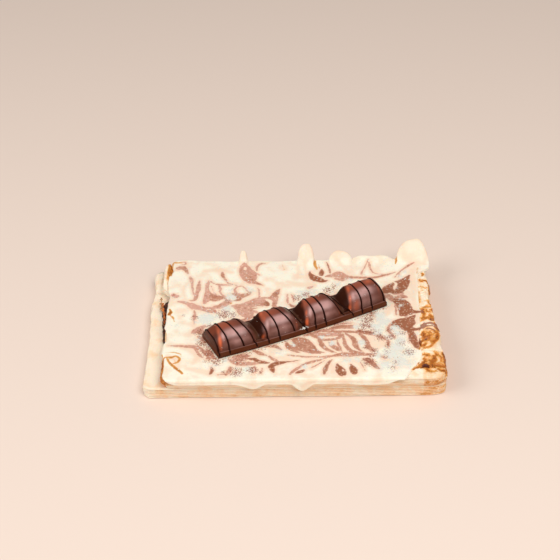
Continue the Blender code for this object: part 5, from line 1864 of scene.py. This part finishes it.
@dataclass
class WaferBar:
    """A moulded bar of four humps on a straight band, with dark chocolate drizzled over it."""

    length: float = 112.0
    width: float = 21.5
    height: float = 13.1
    swell: float = 1.3
    humps: int = 4
    valley: float = 7.3
    band: float = 3.8
    centre: tuple[float, float, float] = (2.3, -10.1, 18.2)
    bow: float = 2.1
    turn: float = math.radians(24.9)
    skew: float = 1.8
    thread: float = 0.54
    ledge: float = 1.3
    # how far round a cross section the band, its rounded edge and its ledge end
    band_turn: float = 0.08
    round_turn: float = 0.1
    ledge_turn: float = 0.12
    # where each pass of the drizzle starts along the bar, and how far on it ends
    passes: tuple[tuple[float, float], ...] = (
        (0.9, 0.6), (7.5, -0.6), (17.8, -8.5), (25, -9.5), (32.3, 0), (39.5, -1.6), (50.8, -10),
        (57.5, -9), (63, 2.2), (69.9, -0.2), (83.6, -12), (89, -13), (94.6, 1.6), (101.6, 0.6),
        (110.8, -2.4),
    )
    # painted warm glows of light: place along and across, length, width and strength
    glows: tuple = (
        (3.6, -6.4, 1.2, 2.6, 0.95), (5.2, -1, 1.2, 2.6, 0.5), (34.8, 4.6, 1.3, 2.8, 0.55),
        (34.4, -1, 1.3, 2.6, 0.45), (29.6, -8.4, 1.3, 1.1, 0.8), (60.8, 3, 0.9, 2.2, 0.25),
        (60.4, -3.8, 1, 1.7, 0.7), (58.6, -7.8, 1.1, 1.7, 0.95), (91.8, 1.6, 1.1, 3, 0.6),
        (89.4, -5, 1, 2.2, 0.75), (87.2, -8.4, 1, 1.3, 0.7), (91.6, -9, 2.6, 1.6, 0.45),
        (105.9, 2.2, 2.4, 2.6, 0.55), (78, 2.6, 2.4, 2, 0.25), (22, 3.4, 2.2, 1.8, 0.25),
        (108.8, -5, 1.1, 3.5, 0.35), (51.6, -8, 0.8, 1.6, 0.4), (80.2, -8, 0.8, 1.4, 0.3),
    )

    def hump(self, along: float) -> float:
        """How high the bar's back rises.

        Args:
            along: distance from the bar's left end.

        Returns:
            0 in a valley between two humps, 1 on a hump's crown.
        """
        within = abs((along * self.humps / self.length) % 1.0 - 0.5) * 2.0
        half_hump = self.length * 0.5 / self.humps
        fall = 0.5 if along < half_hump else 0.2 if along > self.length - half_hump else 1.0
        return 1.0 - fall * smooth_step(0.42, 0.98, within)

    def bent(self, along: float, across: float, height: float) -> Vector:
        """A place on the bar with the bar's slight bend put in."""
        share = 2.0 * along / self.length - 1.0
        return Vector((along, across - self.bow * (1.0 - share * share), height))

    def point(self, along: float, turn: float) -> Vector:
        """A point of the bar's skin.

        Args:
            along: distance from the bar's left end.
            turn: 0 at its front foot, 0.5 on top, 1 at its back foot.

        Returns:
            The point, before the bar is turned and put in place.
        """
        rise = self.hump(along)
        crown = self.valley + (self.height - self.valley) * rise
        from_end = min(along, self.length - along)
        end = smooth_step(-2.2, 1.6, from_end)
        band = self.band * (0.7 + 0.3 * smooth_step(0.0, 1.6, from_end))
        crown = band + (crown - self.band) * end
        half = self.width / 2 + (self.swell * (1.0 - along / self.length) if turn > 0.5 else 0.0)
        foot = self.ledge + 1.8 * (1.0 - rise)
        low = min(turn, 1.0 - turn)
        side = -1.0 if turn < 0.5 else 1.0
        if low < self.band_turn:
            share = low / self.band_turn
            across, height = side * (half - 0.3 * share), (band - 0.3) * share
        elif low < self.round_turn:
            share = (low - self.band_turn) / (self.round_turn - self.band_turn)
            across, height = side * (half - 0.3 - 0.3 * share**2), band - 0.3 * (1.0 - share) ** 2
        elif low < self.ledge_turn:
            share = (low - self.round_turn) / (self.ledge_turn - self.round_turn)
            across, height = side * (half - 0.6 - (foot - 0.6) * share), band - 0.15 * share
        else:
            angle = math.pi * (turn - self.ledge_turn) / (1.0 - 2.0 * self.ledge_turn)
            across = -math.copysign(abs(math.cos(angle)) ** 0.68, math.cos(angle)) * (half - foot)
            height = band - 0.15 + (crown - band + 0.15) * abs(math.sin(angle)) ** 0.8
        return self.bent(along - self.skew * across / self.width, across, height)

    def placing(self) -> Matrix:
        """The turn and move that put the bar on the coat, in millimetres."""
        middle = Matrix.Translation((-self.length / 2, 0.0, 0.0))
        return Matrix.Translation(self.centre) @ Matrix.Rotation(self.turn, 4, "Z") @ middle

    def body(self) -> bpy.types.Object:
        """Pulls the bar from one cross section to the next.

        Returns:
            The piece.
        """
        foot = [0.0, 0.03, 0.06, 0.077, 0.083, 0.09, 0.097, 0.104, 0.116, 0.122]
        turns = [*foot, *spread(0.135, 0.865, 0.73 / 44), *(1.0 - turn for turn in reversed(foot))]
        shape = bmesh.new()
        ring = bmesh.ops.create_circle(shape, cap_ends=False, segments=len(turns), radius=1.0)["verts"]
        source = dict(zip(ring, turns))
        loop = list(shape.edges)
        for vertex, turn in source.items():
            vertex.co = self.point(0.0, turn)
        bmesh.ops.contextual_create(shape, geom=loop)
        for along in spread(0.0, self.length, 0.7)[1:]:
            loop, source = pull(shape, loop, source)
            for vertex, turn in source.items():
                vertex.co = self.point(along, turn)
        bmesh.ops.contextual_create(shape, geom=loop)
        made = finish_mesh("bar_body", shape)
        self.shade(made)
        made.data.transform(Matrix.Scale(MM, 4) @ self.placing() @ Matrix.Scale(1.0 / MM, 4))
        return made

    def shade(self, made: bpy.types.Object) -> None:
        """Lays the painted shade of the valleys and the band, the painted highlights, the lighter crowns and
        the painted warm glow on the bar's mesh.

        Args:
            made: the bar, straight and not yet put in place.
        """
        pitch = self.length / self.humps
        points = points_of(made)
        across, height = points[:, 1], points[:, 2]
        across += self.bow * (1.0 - (2.0 * points[:, 0] / self.length - 1.0) ** 2)
        along = points[:, 0] + self.skew * across / self.width
        number = np.clip(along // pitch, 0, self.humps - 1)
        last = number == self.humps - 1
        within = along / pitch - number
        shoulder = 0.205 + 0.011 * np.clip(across, -9.0, 6.0) + np.where(last, 0.045, 0.0)
        above = smooth_array(self.band - 0.4, self.band + 0.3, height)
        # painted shade on each hump's left face and at the foot of each valley, laid as "deep"
        face = (1.0 - smooth_array(-0.07, 0.0, within - shoulder)) * np.where(number > 0, 0.95, 0.5)
        foot = bell(within, 0.5, 0.5) * bell(across, -9.6, 0.5)
        lay(made, "deep", np.clip(face * above + 0.35 * foot * above, 0.0, 0.95))
        # painted shade on the band's upright side
        lay(made, "side", 1.0 - above)
        # painted light: the top of each hump is laid as a lighter, redder crown
        crown = smooth_array(-4.0, 2.0, across) * smooth_array(7.0, 10.5, height)
        lay(made, "crown", crown * np.where(last, 0.8, 1.0 - smooth_array(0.35, 0.8, within)))
        # painted shade on the flank that falls into the next valley
        lay(made, "flank_shade", smooth_array(0.86, 0.96, within) * np.where(last, 0.25, 0.85) * above)
        # painted highlight on each hump's front and beside its shoulder, and along the ledge's rim
        sheen = bell(within, 0.5, 0.3) * (bell(across, -4.4, 3.3) + 0.4 * bell(across, -9.0, 0.8))
        sheen += 0.6 * bell(within, shoulder + 0.07, 0.035) * bell(across, -5.6, 2.2)
        rim = bell(across, -10.2, 0.55) * smooth_array(self.band - 0.5, self.band - 0.1, height)
        lay(made, "front", np.clip(np.maximum(sheen * above, 0.45 * rim), 0.0, 1.0))
        # painted warm glow of light on the humps' shoulders
        warm = np.zeros(len(points))
        for x, y, long, wide, strength in self.glows:
            warm += strength * bell(along - 0.3 * (across - y), x, long) * bell(across, y, wide)
        lay(made, "warm", np.clip(warm, 0.0, 1.0) * above)

    def drizzle(self) -> bpy.types.Object:
        """Draws each pass of the drizzle as a tube along the bar's skin.

        Returns:
            The piece.
        """
        curve = bpy.data.curves.new("bar_drizzle", "CURVE")
        curve.dimensions = "3D"
        curve.bevel_depth = self.thread * MM
        curve.bevel_resolution = 3
        curve.use_fill_caps = True
        placing = self.placing()
        for number, (start, drift) in enumerate(self.passes):
            margin = 0.1 if number % 4 == 2 else 0.03
            turns = spread(margin, 1.0 - margin, 0.02)
            line = curve.splines.new("POLY")
            line.points.add(len(turns) - 1)
            for point, turn in zip(line.points, turns):
                along = start + drift * turn + 0.25 * ripple(turn * 10.0, number * 3.0, 2.0, 1.0)
                along = min(max(along, 0.8), self.length - 0.8)
                spot = self.point(along, turn)
                spot.z -= 0.08
                point.co = (*(placing @ spot * MM), 1.0)
                swell = 1.0 + 0.22 * ripple(turn * 10.0, number * 5.0, 1.3, 2.0)
                end = smooth_step(0.0, 0.03, min(turn - margin, 1.0 - margin - turn))
                point.radius = swell * (0.6 + 0.4 * end)
        drawn = bpy.data.objects.new("drawn", curve)
        bpy.context.scene.collection.objects.link(drawn)
        graph = bpy.context.evaluated_depsgraph_get()
        mesh = bpy.data.meshes.new_from_object(drawn.evaluated_get(graph))
        bpy.data.objects.remove(drawn)
        mesh.name = "bar_drizzle"
        mesh.shade_smooth()
        made = bpy.data.objects.new("bar_drizzle", mesh)
        bpy.context.scene.collection.objects.link(made)
        return made


# ------------------------------------------------------------------ crumbs and sugar


@dataclass
class Scatter:
    """Small loose bits strewn over the coat, the bar and the bare edge."""

    coat: PouredCoat
    bar: WaferBar
    seed: int = 7
    crumbs: int = 900
    grains_on_humps: int = 46
    grains_on_ledge: int = 60
    heap_foot: float = 10.0
    heap_top: float = 11.8
    # middle, radius and count of each heap
    crisps: tuple = (
        (-83.4, 16.6, 1, 12), (-82, 11.6, 0.8, 6), (-81, 8, 0.9, 12),
        (-80.7, 4.4, 0.9, 16), (-80.4, 0.4, 0.8, 14), (-82.2, 28.6, 0.7, 8),
    )
    nuts: tuple = (
        (-84, 17.4, 1.1, 20), (-83.4, 13.4, 1.1, 20), (-81.8, 9.6, 0.8, 7),
        (-84.6, 22.4, 1, 8), (-80.4, -3, 0.7, 4),
    )

    def __post_init__(self) -> None:
        """Starts the draw that places the bits, the same each time."""
        self.draw = random.Random(self.seed)

    def on_bar(self, x: float, y: float, margin: float) -> bool:
        """Whether a place lies under the bar or near it.

        Args:
            x: place along the crepe.
            y: place across it.
            margin: how far from the bar still counts.

        Returns:
            True if it does.
        """
        spot = self.bar.placing().inverted() @ Vector((x, y, self.coat.top))
        inside = -margin < spot.x < self.bar.length + margin
        middle = self.bar.bent(spot.x, 0.0, 0.0).y
        return inside and abs(spot.y - middle) < self.bar.width / 2 + margin

    def bit(self, shape: bmesh.types.BMesh, place: Vector, size: float, round_one: bool) -> None:
        """Adds one bit.

        Args:
            shape: the shape that holds all bits of a kind.
            place: its middle.
            size: how large it is across.
            round_one: whether it is a rounded crumb and not a grain.
        """
        angle = self.draw.uniform(0.0, 6.28)
        axis = Vector((self.draw.random(), 0.6, self.draw.random())).normalized()
        sides = (self.draw.uniform(*limits) for limits in ((0.7, 1.3), (0.7, 1.2), (0.45, 0.8)))
        squash = Matrix.Diagonal((*sides, 1.0))
        matrix = Matrix.Translation(place) @ Matrix.Rotation(angle, 4, axis) @ squash
        if round_one:
            bmesh.ops.create_icosphere(shape, subdivisions=1, radius=size / 2, matrix=matrix)
        else:
            bmesh.ops.create_cube(shape, size=size * 0.75, matrix=matrix)

    def dust(
        self, spots: Sequence[tuple], count: int, size: tuple[float, float], name: str
    ) -> bpy.types.Object:
        """Strews grains over round spots of the coat.

        Args:
            spots: centre, radius and strength of each spot.
            count: how many grains a spot of 3 mm radius and full strength gets.
            size: smallest and largest grain.
            name: what the piece is called.

        Returns:
            The piece.
        """
        shape = bmesh.new()
        for x, y, radius, strength in spots:
            for _ in range(round(count * strength * radius**2 / 9.0)):
                angle = self.draw.uniform(0.0, 2.0 * math.pi)
                away = radius * 1.25 * math.sqrt(self.draw.random())
                place = Vector((x + away * math.cos(angle), y + away * math.sin(angle)))
                if self.on_bar(*place, 0.2) or not self.coat.plan.left < place.x < self.coat.plan.right:
                    continue
                grain = self.draw.uniform(*size)
                self.bit(shape, self.coat.skin(place) + Vector((0.0, 0.0, grain * 0.12)), grain, False)
        return finish_mesh(name, shape, False)

    def crumbs_at_bar(self) -> bpy.types.Object:
        """Dark crumbs that lie along the bar's foot.

        Returns:
            The piece.
        """
        shape = bmesh.new()
        placing = self.bar.placing()
        for _ in range(self.crumbs):
            along = self.draw.uniform(-3.5, self.bar.length + 2.0)
            away = self.bar.width / 2 + 0.35 + abs(self.draw.gauss(0.0, 0.9))
            across = away if self.draw.random() < 0.4 else -away
            if self.draw.random() < 0.25:
                along, across = -abs(self.draw.gauss(0.3, 2.4)) - 0.3, self.draw.uniform(-10.0, 11.0)
            place = placing @ self.bar.bent(along, across, 0.0)
            size = self.draw.uniform(0.22, 0.6)
            top = self.coat.skin(Vector((place.x, place.y)))
            self.bit(shape, top + Vector((0.0, 0.0, size * 0.15)), size, True)
        return finish_mesh("cocoa_crumbs", shape, False)

    def bits(self, heaps: Sequence[tuple], name: str) -> bpy.types.Object:
        """Pieces of biscuit or nut squeezed out with the filling at the left end.

        Args:
            heaps: middle, radius and count of each heap.
            name: what the piece is called.

        Returns:
            The piece.
        """
        shape = bmesh.new()
        for x, y, radius, count in heaps:
            for _ in range(count):
                beside = self.draw.gauss(0.0, radius * 0.45)
                place = Vector((x + beside, y + self.draw.gauss(0.0, radius * 0.7)))
                size = self.draw.uniform(0.6, 1.5)
                height = self.heap_foot + size * 0.3 + abs(self.draw.gauss(0.0, 0.6))
                self.bit(shape, Vector((*place, min(height, self.heap_top))), size, True)
        return finish_mesh(name, shape, False)

    def sugar_on_bar(self) -> bpy.types.Object:
        """A few grains of sugar that fell on the bar.

        Returns:
            The piece.
        """
        shape = bmesh.new()
        placing = self.bar.placing()
        for _ in range(self.grains_on_humps):
            along, turn = self.draw.uniform(2.0, 110.0), self.draw.uniform(0.12, 0.75)
            size = self.draw.uniform(0.2, 0.4)
            self.bit(shape, placing @ self.bar.point(along, turn), size, False)
        for _ in range(self.grains_on_ledge):
            along, across = self.draw.gauss(56.5, 1.1), -9.7 + self.draw.gauss(0.0, 0.5)
            size = self.draw.uniform(0.25, 0.5)
            self.bit(shape, placing @ self.bar.bent(along, across, self.bar.band + 0.1), size, False)
        return finish_mesh("sugar_on_bar", shape, False)


# ------------------------------------------------------------------ studio


@dataclass
class Studio:
    """The table, the lights and the camera."""

    lens: float = 92.45
    elevation: float = math.radians(38.56)
    azimuth: float = math.radians(3.94)
    roll: float = math.radians(-3.33)
    distance: float = 901.86
    aim: tuple[float, float] = (10.20, -32.90)
    middle: tuple[float, float, float] = (1.5, 1.0, 0.0)
    sensor: float = 36.0
    near_limit: float = 0.02
    table: float = 3000.0

    def camera(self) -> None:
        """Puts the camera in front and above, looking down at the crepe."""
        towards = Vector(
            (
                -math.sin(self.azimuth) * math.cos(self.elevation),
                math.cos(self.azimuth) * math.cos(self.elevation),
                -math.sin(self.elevation),
            )
        )
        level = towards.cross(Vector((0.0, 0.0, 1.0))).normalized()
        upright = level.cross(towards)
        right = level * math.cos(self.roll) + upright * math.sin(self.roll)
        up = upright * math.cos(self.roll) - level * math.sin(self.roll)
        spot = Vector(self.middle) - right * self.aim[0] - up * self.aim[1] - towards * self.distance
        data = bpy.data.cameras.new("camera")
        data.lens = self.lens
        data.sensor_width = self.sensor
        data.clip_start = self.near_limit
        made = bpy.data.objects.new("camera", data)
        made.matrix_world = Matrix(
            (
                (right.x, up.x, -towards.x, spot.x * MM),
                (right.y, up.y, -towards.y, spot.y * MM),
                (right.z, up.z, -towards.z, spot.z * MM),
                (0.0, 0.0, 0.0, 1.0),
            )
        )
        bpy.context.scene.collection.objects.link(made)
        bpy.context.scene.camera = made

    def light(self, name: str, place: tuple, size: float, power: float, tint: tuple) -> None:
        """Adds one soft light that faces the crepe.

        Args:
            name: what the light is called.
            place: where it is, in metres.
            size: how wide it is, in metres.
            power: how strong it is, in watts.
            tint: its colour.
        """
        data = bpy.data.lights.new(name, "AREA")
        data.shape = "DISK"
        data.size = size
        data.energy = power
        data.color = tint
        made = bpy.data.objects.new(name, data)
        made.location = place
        made.rotation_euler = (-Vector(place)).to_track_quat("-Z", "Y").to_euler()
        bpy.context.scene.collection.objects.link(made)

    def build(self) -> None:
        """Makes the table, the lights, the soft surroundings and the camera."""
        shape = bmesh.new()
        bmesh.ops.create_grid(shape, x_segments=2, y_segments=2, size=self.table)
        floor = finish_mesh("table", shape)
        floor.data.materials.append(TableTop().material())
        world = bpy.data.worlds.new("surroundings")
        world.use_nodes = True
        bpy.context.scene.world = world
        sky = world.node_tree.nodes["Background"]
        sky.inputs["Color"].default_value = (1.0, 0.97, 0.95, 1.0)
        sky.inputs["Strength"].default_value = 0.36
        self.light("key", (0.35, -0.52, 1.0), 0.8, 8.4, (1.0, 0.975, 0.95))
        self.light("fill", (-0.85, -0.35, 0.8), 0.8, 5.4, (1.0, 0.975, 0.955))
        bpy.context.scene.view_settings.view_transform = "Standard"
        self.camera()


# ------------------------------------------------------------------ the whole


def dress_folds() -> None:
    """Builds the two folds and the filling between them."""
    batter = CookedBatter().material()
    dress(LowerFold().finish(), batter, Slot.CREPE, "crepe_lower_fold")
    dress(UpperFold().finish(), batter, Slot.CREPE, "crepe_upper_fold")
    dress(Filling().build(), NutFilling().material(), Slot.FILLING, "filling")


def dress_top() -> None:
    """Builds the coat, the bar with its drizzle, and everything strewn over them."""
    coat = PouredCoat()
    marbling = Marbling()
    poured = coat.build()
    marbling.apply(poured, coat.top)
    dress(poured, MarbledChocolate().material(), Slot.WHITE, "white_chocolate_coat")
    bar = WaferBar()
    dress(bar.body(), BarChocolate().material(), Slot.MILK, "wafer_bar")
    dark = PlainFood("dark_drizzle", display(34, 7, 0), display(46, 14, 6), 0.45, gloss=0.08)
    dress(bar.drizzle(), dark.material(), Slot.MILK)
    strewn = Scatter(coat, bar)
    sugar = PlainFood("sugar_dust", display(240, 239, 231), display(228, 227, 218), 0.6).material()
    cocoa = PlainFood("cocoa_crumb", display(170, 104, 78), display(214, 156, 128), 0.7, gloss=0.1).material()
    crisp = PlainFood("crisp_crumb", display(230, 136, 62), display(150, 70, 24), 0.45, 2.2).material()
    dress(strewn.dust(marbling.sugar, 26, (0.18, 0.46), "sugar_dust"), sugar, Slot.WHITE)
    dress(strewn.dust(marbling.cocoa, 9, (0.2, 0.5), "cocoa_dust"), cocoa, Slot.MILK)
    dress(strewn.crumbs_at_bar(), cocoa, Slot.MILK)
    dress(strewn.bits(strewn.crisps, "crisp_bits"), crisp, Slot.FILLING)
    nut = PlainFood("nut_crumb", display(206, 158, 112), display(150, 94, 54), 0.6, 1.6).material()
    dress(strewn.bits(strewn.nuts, "nut_bits"), nut, Slot.FILLING)
    dress(strewn.sugar_on_bar(), sugar, Slot.WHITE)


def main() -> None:
    """Builds the dressed crepe and its studio."""
    logging.basicConfig(level=logging.INFO, format="%(name)s %(message)s")
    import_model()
    dress_folds()
    dress_top()
    Studio().build()


if __name__ == "__main__":
    main()
